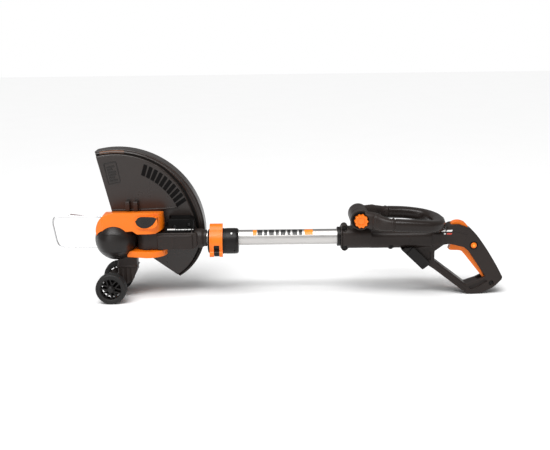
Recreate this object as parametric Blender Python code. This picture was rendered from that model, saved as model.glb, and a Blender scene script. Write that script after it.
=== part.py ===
"""Cordless lawn edger, modelled as the separate pieces it is put together from.

Shapes are drawn in millimetres in shaft coordinates: X runs along the shaft with the cutting
head at -X, Y runs across the tool, and Z is up from the shaft's axis. Each finished piece is
turned into metres and lifted so that the wheels and the rear handle stand on Z = 0.
"""
import math

import bmesh
import bpy
from mathutils import Matrix, Vector
from mathutils.geometry import tessellate_polygon

# Driving dimensions, in millimetres
SHAFT_HEIGHT = 106.0            # shaft axis above the ground
HALF_LENGTH = 405.5             # the tool is centred on X = 0
GAP = 0.3                       # between pieces that touch
SPLIT = 0.15                    # half of the gap where two shells meet
LAP = 1.0                       # how far joined shapes run into each other

TUBE_OUTER, TUBE_BORE = 13.5, 12.1              # upper tube, radii
SLIDER_OUTER, SLIDER_BORE = 11.7, 10.5          # telescoping inner tube, radii
TUBE_FRONT, TUBE_REAR = -118.0, 164.0
SLIDER_FRONT, SLIDER_REAR = -163.0, 75.0

SPOOL_X, SPOOL_Z = -283.0, 1.0                  # cutting axis, which runs along Y
GUARD_RADIUS, GUARD_WALL = 156.5, 3.0
GUARD_START, GUARD_TURN, TAIL_END = 103.3, 5.0, -59.4   # ends of the guard's two arcs, degrees
GUARD_TAIL_OFFSET = 59.0                        # centre of the tail's tighter arc
FACE_RIM = ((102.6, 9.0), (60.0, 10.0), (42.0, 13.0), (20.0, 16.5),     # angle in degrees, and the
            (5.0, 16.0), (-12.0, 8.0), (-35.4, 5.5))                    # rim's width there
GUARD_FRONT, GUARD_PLATE, GUARD_BACK = 25.0, 28.0, 62.0

TILT_X, TILT_RADIUS = -226.0, 19.5              # head tilt axis, which runs along Z
EAR_RADIUS, BUTTON_SWING = 29.5, 41.5           # the yoke's ears, and the room the button turns in
UPPER_EAR, LOWER_EAR = (14.5, 53.0), (-28.0, -17.0)

WHEEL_X, WHEEL_Z = -289.0, -79.0
WHEEL_RADIUS, WHEEL_WIDTH, WHEEL_TRACK = 27.0, 18.0, 88.0
AXLE_RADIUS = 3.0

WIRE_Y, WIRE_RADIUS = 36.0, 1.5
WIRE_TOP, WIRE_BOTTOM, WIRE_END = 34.0, -23.0, -215.0
LINE_Y, LINE_RADIUS = 57.5, 0.825
LINE_EXIT_Z = 28.0
LINE_START_X = SPOOL_X - math.sqrt(38.5 ** 2 - (LINE_EXIT_Z - SPOOL_Z) ** 2)
LINE_ROUTE = ((-318.0, 27.6), (-330.0, 28.4), (-346.0, 29.9), (-361.0, 31.6), (-376.0, 33.6))

CLAMP_RADIUS, CLAMP_DROP = 23.0, -6.0           # the sleeve hangs below the tube's axis
CLAMP_PIN_Y, CLAMP_PIN_Z = -20.5, -24.0
CLAMP_LEVER_X = (-116.0, -93.0)
CLAMP_SLOT_X = (-108.4, -98.6)

AUX_X, AUX_Z, AUX_LUG = 150.0, 35.5, 18.0       # auxiliary handle's hinge, along Y
AUX_ARM_X, AUX_ARM_DEEPER = (172.0, 204.0), 1.4         # its arms deepen from the grip to the hinge
HOUSING_FRONT, HOUSING_BOTTOM, HOUSING_TOP, DECK = 116.0, -19.5, 17.0, 10.0
HOUSING_HALF, GRIP_HALF = 20.5, 15.5
SCREW_BOSSES = ((123.3, 16.6, 6.3), (123.3, -17.9, 6.3),        # x, z and radius
                (205.0, -17.2, 5.0), (386.0, -86.0, 4.6))
SCREW_HEADS = (-11.4, -11.4, -11.4, -13.0)      # the outer face of each head, in Y
SCREW_LENGTH = 21.0
DOCK_TOP, DOCK_END = (222.0, -19.9), (260.5, -57.0)     # the battery dock's face, seen from the side
TRIGGER_X, TRIGGER_Z, TRIGGER_HALF = 318.0, -12.0, 7.0
FEED_X, FEED_Z, FEED_RADIUS = 352.0, -16.0, 5.3

CHARCOAL = ((0.045, 0.040, 0.038), 0.42, 0.0)   # colour, roughness, metallic
BLACK = ((0.018, 0.017, 0.017), 0.35, 0.0)
ORANGE = ((1.0, 0.235, 0.006), 0.34, 0.0)
ALUMINIUM = ((0.72, 0.71, 0.70), 0.30, 1.0)
STEEL = ((0.55, 0.55, 0.56), 0.25, 1.0)
BRASS = ((0.75, 0.55, 0.25), 0.30, 1.0)
BOARD_GREEN = ((0.02, 0.16, 0.07), 0.45, 0.0)
NYLON = ((0.20, 0.03, 0.05), 0.35, 0.0)
WHITE = ((0.75, 0.75, 0.73), 0.40, 0.0)

AXES = {"X": Matrix(((0, 0, 1), (1, 0, 0), (0, 1, 0))),
        "Y": Matrix(((1, 0, 0), (0, 0, 1), (0, 1, 0))),
        "Z": Matrix(((1, 0, 0), (0, 1, 0), (0, 0, 1)))}


class Solid:
    """One closed body while it is being shaped."""

    def __init__(self, bm):
        bmesh.ops.recalc_face_normals(bm, faces=bm.faces[:])
        mesh = bpy.data.meshes.new("shape")
        bm.to_mesh(mesh)
        bm.free()
        self.object = bpy.data.objects.new("shape", mesh)
        bpy.context.scene.collection.objects.link(self.object)

    def apply(self, modifier):
        depsgraph = bpy.context.evaluated_depsgraph_get()
        mesh = bpy.data.meshes.new_from_object(self.object.evaluated_get(depsgraph))
        self.object.modifiers.remove(modifier)
        self.object.data = mesh
        return self

    def boolean(self, others, operation):
        for other in others:
            modifier = self.object.modifiers.new("boolean", "BOOLEAN")
            modifier.operation = operation
            modifier.object = other.object
            self.apply(modifier).weld()
            bpy.data.objects.remove(other.object)
        return self

    def weld(self, distance=0.003):
        """Closes the hairline slits that a cut along a curved face can leave."""
        bm = bmesh.new()
        bm.from_mesh(self.object.data)
        bmesh.ops.remove_doubles(bm, verts=bm.verts[:], dist=distance)
        bmesh.ops.dissolve_degenerate(bm, edges=bm.edges[:], dist=distance)
        slits = [edge for edge in bm.edges if edge.is_boundary]
        bmesh.ops.holes_fill(bm, edges=slits, sides=4)
        bm.to_mesh(self.object.data)
        bm.free()

    def cut(self, *others):
        return self.boolean(others, "DIFFERENCE")

    def join(self, *others):
        return self.boolean(others, "UNION")

    def keep(self, *others):
        return self.boolean(others, "INTERSECT")

    def rounded(self, width, segments=2, angle=40.0):
        """Rounds every edge that is sharper than the given angle."""
        modifier = self.object.modifiers.new("bevel", "BEVEL")
        modifier.width = width
        modifier.segments = segments
        modifier.limit_method = "ANGLE"
        modifier.angle_limit = math.radians(angle)
        return self.apply(modifier)

    def moved(self, matrix):
        self.object.data.transform(matrix)
        return self

    def twin(self):
        other = Solid(bmesh.new())
        other.object.data = self.object.data.copy()
        return other

    def finish(self, name, look, pivot=(0.0, 0.0, 0.0)):
        """Names the piece, turns it into metres and puts its origin on its pivot."""
        mesh = self.object.data
        mesh.transform(Matrix.Scale(0.001, 4) @ Matrix.Translation(-Vector(pivot)))
        mesh.name = name
        mesh.shade_smooth()
        mesh.set_sharp_from_angle(angle=math.radians(35.0))
        self.object.name = name
        self.object.location = (Vector(pivot) + Vector((0.0, 0.0, SHAFT_HEIGHT))) * 0.001
        mesh.materials.clear()
        mesh.materials.append(material(*look))
        return self.object


def material(colour, roughness, metallic):
    name = "plastic_%d_%d_%d" % tuple(round(1000 * channel) for channel in colour)
    found = bpy.data.materials.get(name)
    if found:
        return found
    made = bpy.data.materials.new(name)
    made.use_nodes = True
    shader = made.node_tree.nodes["Principled BSDF"]
    shader.inputs["Base Color"].default_value = (*colour, 1.0)
    shader.inputs["Roughness"].default_value = roughness
    shader.inputs["Metallic"].default_value = metallic
    return made


# Outlines, as lists of two-dimensional points

def arc(centre_a, centre_b, radius, start, end, count):
    """Points on a round stretch from start to end, in degrees, both included."""
    angles = [math.radians(start + (end - start) * i / count) for i in range(count + 1)]
    return [(centre_a + radius * math.cos(t), centre_b + radius * math.sin(t)) for t in angles]


def disc(centre_a, centre_b, radius, count=16):
    return arc(centre_a, centre_b, radius, 0.0, 360.0, count)[:-1]


def rounded_box(low_a, low_b, high_a, high_b, radius, count=3):
    corners = ((high_a - radius, high_b - radius, 0.0), (low_a + radius, high_b - radius, 90.0),
               (low_a + radius, low_b + radius, 180.0), (high_a - radius, low_b + radius, 270.0))
    points = []
    for a, b, start in corners:
        points += arc(a, b, radius, start, start + 90.0, count)
    return points


def curve(points, steps=4):
    """A smooth Catmull-Rom line through the given points, of two or three coordinates."""
    knots = [Vector(p) for p in points]
    knots = [2 * knots[0] - knots[1]] + knots + [2 * knots[-1] - knots[-2]]
    line = []
    for a, b, c, d in zip(knots, knots[1:], knots[2:], knots[3:]):
        for i in range(steps):
            t = i / steps
            line.append(0.5 * (2 * b + t * (c - a) + t * t * (2 * a - 5 * b + 4 * c - d)
                               + t * t * t * (3 * b - a - 3 * c + d)))
    line.append(knots[-2])
    return [tuple(p) for p in line]


# Basic bodies

def slab(outline, low, high, axis="Y", holes=()):
    """An outline extruded along an axis: (x, z) along Y, (y, z) along X, (x, y) along Z."""
    loops = [list(outline)] + [list(hole) for hole in holes]
    flat = [Vector((a, b, 0.0)) for loop in loops for a, b in loop]
    turn = AXES[axis]
    bm = bmesh.new()
    bottom = [bm.verts.new(turn @ Vector((p.x, p.y, low))) for p in flat]
    top = [bm.verts.new(turn @ Vector((p.x, p.y, high))) for p in flat]
    for triangle in tessellate_polygon([[Vector((a, b, 0.0)) for a, b in loop] for loop in loops]):
        bm.faces.new([bottom[i] for i in triangle])
        bm.faces.new([top[i] for i in reversed(triangle)])
    start = 0
    for loop in loops:
        count = len(loop)
        for i in range(count):
            a, b = start + i, start + (i + 1) % count
            bm.faces.new((bottom[a], bottom[b], top[b], top[a]))
        start += count
    bmesh.ops.dissolve_limit(bm, angle_limit=math.radians(0.5), verts=bm.verts[:], edges=bm.edges[:],
                             delimit=set())
    return Solid(bm)


def box(low, high):
    outline = [(low[0], low[2]), (high[0], low[2]), (high[0], high[2]), (low[0], high[2])]
    return slab(outline, low[1], high[1], "Y")


def turned(profile, centre=(0.0, 0.0), axis="X", count=24):
    """A profile of (radius, along) points turned about an axis through centre.

    A profile that starts and ends on the axis makes a full body, any other makes a ring.
    """
    turn = AXES[axis]
    bm = bmesh.new()
    rings = []
    for radius, along in profile:
        steps = 1 if radius == 0.0 else count
        ring = [bm.verts.new(turn @ Vector((a, b, along)))
                for a, b in arc(*centre, radius, 0.0, 360.0, steps)[:-1]]
        rings.append(ring)
    pairs = list(zip(rings, rings[1:]))
    if profile[0][0] > 0.0:
        pairs.append((rings[-1], rings[0]))
    for first, second in pairs:
        for i in range(count):
            j = (i + 1) % count
            quad = (first[i % len(first)], first[j % len(first)],
                    second[j % len(second)], second[i % len(second)])
            bm.faces.new(dict.fromkeys(quad))
    return Solid(bm)


def rod(centre, radius, low, high, axis="Y", count=16):
    return slab(disc(*centre, radius, count), low, high, axis)


def tube(points, radius, sides=8, closed=False, stretch=None):
    """A round bar bent along the points; stretch gives the section's two half-sizes instead."""
    path = [Vector(p) for p in points]
    wide, tall = stretch or (radius, radius)
    bm = bmesh.new()
    rings = []
    total = len(path)
    for i, point in enumerate(path):
        before = path[i - 1] if (i > 0 or closed) else point
        after = path[(i + 1) % total] if (i < total - 1 or closed) else point
        along = (after - before).normalized()
        up = Vector((0.0, 0.0, 1.0)) if abs(along.z) < 0.8 else Vector((0.0, 1.0, 0.0))
        side = along.cross(up).normalized()
        up = side.cross(along)
        ring = [bm.verts.new(point + side * a * wide + up * b * tall)
                for a, b in disc(0.0, 0.0, 1.0, sides)]
        rings.append(ring)
    pairs = list(zip(rings, rings[1:]))
    if closed:
        pairs.append((rings[-1], rings[0]))
    else:
        bm.faces.new(rings[0])
        bm.faces.new(rings[-1])
    for first, second in pairs:
        for i in range(sides):
            j = (i + 1) % sides
            bm.faces.new((first[i], first[j], second[j], second[i]))
    return Solid(bm)


def coil(start, radius, length, turns, axis, wire=0.45):
    """A compression spring that stands on start and winds along the axis."""
    turn = AXES[axis]
    angles = [2 * math.pi * i / 9 for i in range(9 * turns + 1)]
    helix = [Vector(start) + turn @ Vector((radius * math.cos(t), radius * math.sin(t),
                                            length * t / angles[-1])) for t in angles]
    return tube(helix, wire, 4)


def near_half():
    return box((-500.0, -200.0, -200.0), (500.0, -SPLIT, 200.0))


def far_half():
    return box((-500.0, SPLIT, -200.0), (500.0, 200.0, 200.0))


def screw(x, z, head_y, length, head=3.6, shank=1.6):
    """A pan-head screw along Y, its head's outer face at head_y, and a maker of the hole it needs."""
    direction = 1.0 if length > 0 else -1.0
    deep = head_y + 2.2 * direction
    profile = [(0.0, head_y), (head, head_y), (head, deep), (shank, deep), (shank, head_y + length),
               (0.0, head_y + length)]
    wider = [(0.0, head_y - 30.0 * direction), (head + GAP, head_y - 30.0 * direction),
             (head + GAP, deep + GAP * direction), (shank + GAP, deep + GAP * direction),
             (shank + GAP, head_y + length + 1.0 * direction),
             (0.0, head_y + length + 1.0 * direction)]
    return turned(profile, (x, z), "Y", 8), lambda: turned(wider, (x, z), "Y", 8)


# Rear housing, grips and controls

def grip_outline():
    back = curve([(326.0, 22.0), (349.0, 11.0), (370.0, -15.0), (392.0, -50.0),
                  (HALF_LENGTH, -75.0)], 3)
    heel = curve([(404.0, -80.0), (390.0, -93.5), (370.0, -103.0), (354.0, -SHAFT_HEIGHT)], 3)
    strut = [(343.0, -SHAFT_HEIGHT), (282.0, -58.5), (271.0, -51.5), (271.0, -45.5),
             (240.0, -18.5)]
    top = [(240.0, DECK - 0.5), (300.0, DECK - 0.5), (304.5, 18.0), (311.0, 21.5)]
    return top + back + heel + strut


def hand_loop():
    return [(283.0, -26.0), (299.0, -14.5), (309.0, -13.0), (334.0, -19.0), (343.0, -26.0),
            (375.0, -74.0), (362.0, -81.0), (341.0, -88.0), (283.0, -43.0)]


def trigger_outline():
    front = [(309.0, -24.5), (313.0, -26.0), (329.0, -27.0), (335.5, -32.0), (370.5, -76.0)]
    back = [(375.0, -76.5), (345.0, -25.0), (336.0, -17.0)]
    hinge = arc(TRIGGER_X, TRIGGER_Z, 4.5, 20.0, 190.0, 6)
    return front + back + hinge


def make_housing():
    loop = hand_loop()
    shell = slab(grip_outline(), -GRIP_HALF, GRIP_HALF, "Y", [loop]).rounded(4.0, 1)
    shoulder = rounded_box(-HOUSING_HALF, HOUSING_BOTTOM, HOUSING_HALF, HOUSING_TOP, 12.0, 4)
    deck = rounded_box(-HOUSING_HALF + 0.5, HOUSING_BOTTOM + 0.2, HOUSING_HALF - 0.5, DECK, 9.0, 4)
    shell.join(slab(shoulder, HOUSING_FRONT, 170.0, "X").rounded(1.5, 1))
    shell.join(slab(deck, 169.0, 277.0, "X").rounded(1.5, 1))
    lug = rod((AUX_X, AUX_Z), AUX_LUG, -14.0 + GAP, 14.0 - GAP, "Y", 24)
    foot = box((AUX_X - 15.0, -13.0, 10.0), (AUX_X + 15.0, 13.0, AUX_Z - 2.0))
    shell.join(lug.join(foot))
    for x, z, radius in SCREW_BOSSES:
        shell.join(rod((x, z), radius, -12.0, 12.0, "Y", 16))
    hollow = [(167.0, -16.0), (167.0, 6.5), (301.0, 6.5), (308.0, 17.0), (325.0, 18.0),
              (343.0, 9.0), (366.0, -18.0), (386.0, -54.0), (380.0, -60.0), (345.0, -13.0),
              (330.0, -9.0), (300.0, -10.0), (282.0, -16.0)]
    shell.cut(slab(hollow, -11.5, 11.5))
    shell.cut(rod((0.0, 0.0), TUBE_OUTER + GAP, HOUSING_FRONT - 5.0, 168.0, "X", 24))
    slot = [(303.0, -30.0), (308.0, -8.0), (318.0, -4.0), (332.0, -8.0), (352.0, -19.0),
            (388.0, -67.0), (380.0, -80.0), (362.0, -82.0), (330.0, -45.0)]
    shell.cut(slab(slot, -TRIGGER_HALF - 0.4, TRIGGER_HALF + 0.4))
    shell.cut(rod((TRIGGER_X, TRIGGER_Z), 2.9, -10.4, 10.4, "Y", 12))
    shell.cut(box((311.6, -8.4, 8.0), (342.4, 8.4, 40.0)))
    shell.cut(rod((FEED_X, FEED_Z), FEED_RADIUS + GAP, -30.0, -5.0, "Y", 20))
    shell.cut(rod((AUX_X, AUX_Z), 4.0 + GAP, -40.0, 40.0, "Y", 16))
    for index, (x, z, _) in enumerate(SCREW_BOSSES):
        body, hole = screw(x, z, SCREW_HEADS[index], SCREW_LENGTH)
        shell.cut(hole())
        body.finish("housing_screw_%d" % (index + 1), STEEL)
    far = shell.twin()
    shell.keep(near_half()).finish("housing_near", CHARCOAL)
    far.keep(far_half()).finish("housing_far", CHARCOAL)


def make_controls():
    body = slab(trigger_outline(), -TRIGGER_HALF, TRIGGER_HALF).rounded(1.2, 1)
    body.join(rod((TRIGGER_X, TRIGGER_Z), 2.6, -9.8, 9.8, "Y", 12))
    body.finish("trigger", ORANGE, (TRIGGER_X, 0.0, TRIGGER_Z))
    lock = curve([(312.0, 18.5), (316.0, 24.5), (326.0, 26.5), (337.0, 23.0), (342.0, 16.0)], 3)
    lock += [(338.0, 12.5), (316.0, 12.5)]
    slab(lock, -8.0, 8.0).rounded(1.2, 1).finish("lock_off_button", ORANGE, (327.0, 0.0, 18.0))
    feed = [(0.0, -17.5), (3.6, -17.3), (FEED_RADIUS, -15.8), (FEED_RADIUS, -9.0), (0.0, -9.0)]
    turned(feed, (FEED_X, FEED_Z), "Y", 20).finish("feed_button", ORANGE, (FEED_X, -9.0, FEED_Z))
    switch = box((322.0, -6.5, -1.5), (340.0, 6.5, 8.0)).rounded(0.8, 1)
    switch.join(box((334.0, -2.0, -3.6), (338.0, 2.0, -1.0)))
    switch.finish("power_switch", BLACK)
    coil((341.0, 0.0, -18.4), 2.0, 3.4, 2, "Z").finish("trigger_spring", STEEL)


def make_electrics():
    board = box((182.0, -9.0, -12.0), (262.0, 9.0, -10.4))
    board.join(box((192.0, -5.0, -10.9), (208.0, 5.0, -2.0)), box((234.0, -7.0, -10.9), (252.0, 7.0, -7.0)),
               rod((222.0, 0.0), 4.0, -10.9, -1.0, "Z", 16))
    board.finish("control_board", BOARD_GREEN)
    lead = [(179.5, 0.0, -5.0), (172.0, 0.0, -4.0), (164.0, 0.0, -1.0), (150.0, 0.0, 0.0),
            (40.0, 0.0, 0.0), (-60.0, 0.0, 0.0), (-158.0, 0.0, 0.0)]
    tube(curve(lead, 3), 2.6, 8).finish("power_lead", BLACK)


def dock_point(along, out):
    """A point on the battery dock: from its upper front corner along its face, and out of it."""
    (top_x, top_z), (end_x, end_z) = DOCK_TOP, DOCK_END
    slope = math.atan2(end_z - top_z, end_x - top_x)
    return (top_x + along * math.cos(slope) + out * math.sin(slope),
            top_z + along * math.sin(slope) - out * math.cos(slope))


def make_battery_dock():
    outline = [DOCK_TOP, DOCK_END, (270.6, -49.8), (270.6, -45.9), (239.2, -19.9)]
    dock = slab(outline, -25.0, 25.0).rounded(1.5, 1)
    groove = [dock_point(9.0, 2.0), dock_point(13.0, 2.0), dock_point(13.0, -2.0), dock_point(9.0, -2.0)]
    for low, high in ((-30.0, -22.5), (22.5, 30.0)):
        dock.cut(slab(groove[:2] + [dock_point(13.0, -30.0), dock_point(9.0, -30.0)], low, high))
    rail = [dock_point(16.0, 3.0), dock_point(60.0, 3.0), dock_point(60.0, -4.0), dock_point(16.0, -4.0)]
    for low, high in ((-20.0, -15.0), (15.0, 20.0)):
        dock.cut(slab(rail, low, high))
    bay = [dock_point(20.0, 3.0), dock_point(34.0, 3.0), dock_point(34.0, -6.0), dock_point(20.0, -6.0)]
    dock.cut(slab(bay, -10.0, 10.0))
    dock.finish("battery_dock", BLACK)
    base = [dock_point(20.3, -4.0), dock_point(33.7, -4.0), dock_point(33.7, -5.7), dock_point(20.3, -5.7)]
    blade = [dock_point(22.0, -0.3), dock_point(32.0, -0.3), dock_point(32.0, -5.0), dock_point(22.0, -5.0)]
    terminals = slab(base, -9.7, 9.7)
    for y in (-6.0, 0.0, 6.0):
        terminals.join(slab(blade, y - 0.6, y + 0.6))
    terminals.finish("dock_terminals", BRASS)


def make_aux_handle():
    side = [(AUX_X + 2.0, 22.0, AUX_Z), (172.0, 34.0, 35.0), (188.0, 49.0, 33.0), (210.0, 54.5, 31.5),
            (240.0, 55.0, 30.0), (268.0, 49.0, 27.0), (285.0, 30.0, 24.5), (290.0, 0.0, 24.0)]
    half = curve(side, 2)
    path = half[:-1] + [(x, -y, z) for x, y, z in reversed(half)]
    handle = tube(path, 12.0, 10, stretch=(12.0, 10.8))
    for vertex in handle.object.data.vertices:
        share = (AUX_ARM_X[1] - vertex.co.x) / (AUX_ARM_X[1] - AUX_ARM_X[0])
        if share > 0.0:
            middle = 31.9 + 3.0 * min(share, 1.2)
            vertex.co.z = middle + (vertex.co.z - middle) * (1.0 + (AUX_ARM_DEEPER - 1.0) * min(share, 1.0))
    for low, high in ((-31.0, -14.0), (14.0, 31.0)):
        handle.join(rod((AUX_X, AUX_Z), AUX_LUG, low, high, "Y", 20))
        handle.cut(rod((AUX_X, AUX_Z), 4.0 + GAP, low - 2.0, high + 2.0, "Y", 16))
    handle.cut(box((AUX_X - 19.0, -14.0, AUX_Z - 30.0), (AUX_X + 19.0, 14.0, AUX_Z + 30.0)))
    handle.cut(rod((AUX_X, AUX_Z), 13.6, -60.0, -31.0, "Y", 24))
    handle.cut(rod((AUX_X, AUX_Z), 7.2, 25.0, 60.0, "Y", 6))
    handle.finish("aux_handle", CHARCOAL, (AUX_X, 0.0, AUX_Z))
    rim = []
    for i in range(40):
        t = 2 * math.pi * i / 40
        r = 11.2 + 0.9 * math.cos(10 * t)
        rim.append((AUX_X + r * math.cos(t), AUX_Z + r * math.sin(t)))
    knob = slab(rim, -42.0, -31.3).cut(rod((AUX_X, AUX_Z), 4.0 + GAP, -38.0, -30.0, "Y", 16))
    knob.finish("aux_knob", ORANGE, (AUX_X, -31.3, AUX_Z))
    pivot = (AUX_X, 0.0, AUX_Z)
    rod((AUX_X, AUX_Z), 4.0, -37.7, 30.5, "Y", 16).finish("aux_bolt", STEEL, pivot)
    bore = rod((AUX_X, AUX_Z), 4.0 + GAP, 20.0, 40.0, "Y", 16)
    rod((AUX_X, AUX_Z), 6.9, 25.3, 30.8, "Y", 6).cut(bore).finish("aux_nut", STEEL, pivot)


# Telescoping shaft and its clamp

def pipe(outer, bore, front, rear):
    return turned([(outer, front), (outer, rear), (bore, rear), (bore, front)], axis="X")


def make_shaft():
    pipe(TUBE_OUTER, TUBE_BORE, TUBE_FRONT, TUBE_REAR).finish("upper_tube", ALUMINIUM)
    pipe(17.2, TUBE_OUTER + GAP, 110.0, HOUSING_FRONT - GAP).finish("tube_collar", BLACK)
    pipe(SLIDER_OUTER, SLIDER_BORE, SLIDER_FRONT, SLIDER_REAR).finish("inner_tube", ALUMINIUM)
    bush = [(11.85, SLIDER_REAR + GAP), (11.85, SLIDER_REAR + 5.0), (5.0, SLIDER_REAR + 5.0),
            (5.0, SLIDER_REAR - 12.0), (SLIDER_BORE - GAP, SLIDER_REAR - 12.0),
            (SLIDER_BORE - GAP, SLIDER_REAR + GAP)]
    turned(bush, axis="X").finish("tube_bush", BLACK)


def make_clamp():
    profile = [(0.0, -65.0), (20.0, -65.0), (22.3, -67.0), (CLAMP_RADIUS, -71.0),
               (CLAMP_RADIUS, -113.0), (22.3, -118.0), (20.0, -120.0), (0.0, -120.0)]
    body = turned(profile, (0.0, CLAMP_DROP), axis="X", count=28)
    body.cut(rod((0.0, 0.0), TUBE_OUTER + GAP, TUBE_FRONT - GAP, -60.0, "X", 24),
             rod((0.0, 0.0), SLIDER_OUTER + GAP, -130.0, -110.0, "X", 24))
    lug = rod((CLAMP_PIN_Y, CLAMP_PIN_Z), 5.0, CLAMP_SLOT_X[0] + 0.5, CLAMP_SLOT_X[1] - 0.5, "X", 16)
    web = [(CLAMP_PIN_Y - 3.4, CLAMP_PIN_Z + 3.4), (CLAMP_PIN_Y + 3.4, CLAMP_PIN_Z - 3.4),
           (-11.0, -19.5), (-17.0, -14.0)]
    lug.join(slab(web, CLAMP_SLOT_X[0] + 0.5, CLAMP_SLOT_X[1] - 0.5, "X"))
    hinge_hole = rod((CLAMP_PIN_Y, CLAMP_PIN_Z), 1.5 + GAP, -130.0, -80.0, "X", 12)
    body.join(lug).cut(hinge_hole)
    pockets = ((CLAMP_LEVER_X[0] - GAP, CLAMP_SLOT_X[0] + GAP), (CLAMP_SLOT_X[1] - GAP, CLAMP_LEVER_X[1] + GAP))
    for low, high in pockets:
        body.cut(rod((CLAMP_PIN_Y, CLAMP_PIN_Z), 6.6, low, high, "X", 20))
    body.finish("clamp_body", BLACK)
    inner, outer = CLAMP_RADIUS + 0.7, CLAMP_RADIUS + 4.0
    band = arc(0.0, CLAMP_DROP, inner, 82.0, 207.0, 14)
    band += arc(0.0, CLAMP_DROP, outer, 212.0, 122.0, 10)
    band += [(-9.0, 22.4), (-5.0, 24.8), (0.0, 25.4), (4.5, 24.8), (5.6, 21.0)]
    lever = slab(band, *CLAMP_LEVER_X, "X")
    lever.join(rod((CLAMP_PIN_Y, CLAMP_PIN_Z), 6.0, *CLAMP_LEVER_X, "X", 16))
    lever.cut(box((CLAMP_SLOT_X[0], -40.0, -40.0), (CLAMP_SLOT_X[1], 10.0, -8.0)))
    lever.cut(rod((CLAMP_PIN_Y, CLAMP_PIN_Z), 1.5 + GAP, -130.0, -80.0, "X", 12))
    pivot = (0.0, CLAMP_PIN_Y, CLAMP_PIN_Z)
    lever.finish("clamp_lever", ORANGE, pivot)
    low, high = CLAMP_LEVER_X
    rod((CLAMP_PIN_Y, CLAMP_PIN_Z), 1.5, low + 0.5, high - 0.5, "X", 12).finish("clamp_pin", STEEL, pivot)


# Neck between the shaft and the tilting head

def make_neck():
    floor, roof = LOWER_EAR[1] + GAP, UPPER_EAR[0] - GAP
    neck = turned([(0.0, floor), (TILT_RADIUS, floor), (TILT_RADIUS, roof), (0.0, roof)],
                  (TILT_X, 0.0), "Z", 32)
    arm = [(TILT_X, floor + 0.5), (-145.0, floor + 0.5), (-138.0, -12.0), (-138.0, 12.0),
           (-145.0, 13.8), (TILT_X, 13.8)]
    arm = slab(arm, -19.2, 19.1).rounded(2.0, 1)
    cheek = box((-211.0, -22.0, floor + 1.2), (-146.0, -10.0, 10.0))
    block = slab([(-194.5, 5.0), (-144.0, 5.0), (-144.0, 33.0), (-150.0, 38.0), (-194.5, 38.0)], -16.0, 20.3)
    block.rounded(1.5, 1).cut(rod((TILT_X, 0.0), BUTTON_SWING, 25.0, 50.0, "Z", 32))
    neck.join(arm, cheek.rounded(1.0, 1), block)
    nose = [(0.0, -150.0), (17.0, -150.0), (17.0, -131.0), (15.0, -126.0), (15.0, -121.5), (0.0, -121.5)]
    neck.join(turned(nose, axis="X"))
    neck.cut(rod((0.0, 0.0), SLIDER_OUTER + GAP, SLIDER_FRONT - GAP, -100.0, "X", 24))
    neck.cut(rod((0.0, 0.0), 4.0, -210.0, -161.0, "X", 12))
    neck.cut(rod((TILT_X, 0.0), 5.0 + GAP, -40.0, 40.0, "Z", 20))
    for index, (x, z) in enumerate(((-177.0, 24.0), (-152.0, 28.0))):
        body, hole = screw(x, z, -13.8, 24.0)
        neck.cut(hole())
        body.finish("neck_screw_%d" % (index + 1), STEEL)
    far = neck.twin()
    pivot = (TILT_X, 0.0, 0.0)
    neck.keep(near_half()).finish("neck_near", CHARCOAL, pivot)
    far.keep(far_half()).finish("neck_far", CHARCOAL, pivot)


# Cutting head

MOTOR_PROFILE = ((37.0, 6.0), (37.0, -3.0), (35.6, -12.0), (31.5, -22.5), (25.6, -33.0),
                 (17.0, -40.3), (0.0, -42.5))


def motor_clearance():
    profile = [(0.0, 30.0), (37.6, 30.0)] + [(r + 0.6, y - 0.4) for r, y in MOTOR_PROFILE[:-1]]
    return turned(profile + [(0.0, -43.2)], (SPOOL_X, SPOOL_Z), "Y", 32)


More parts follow.
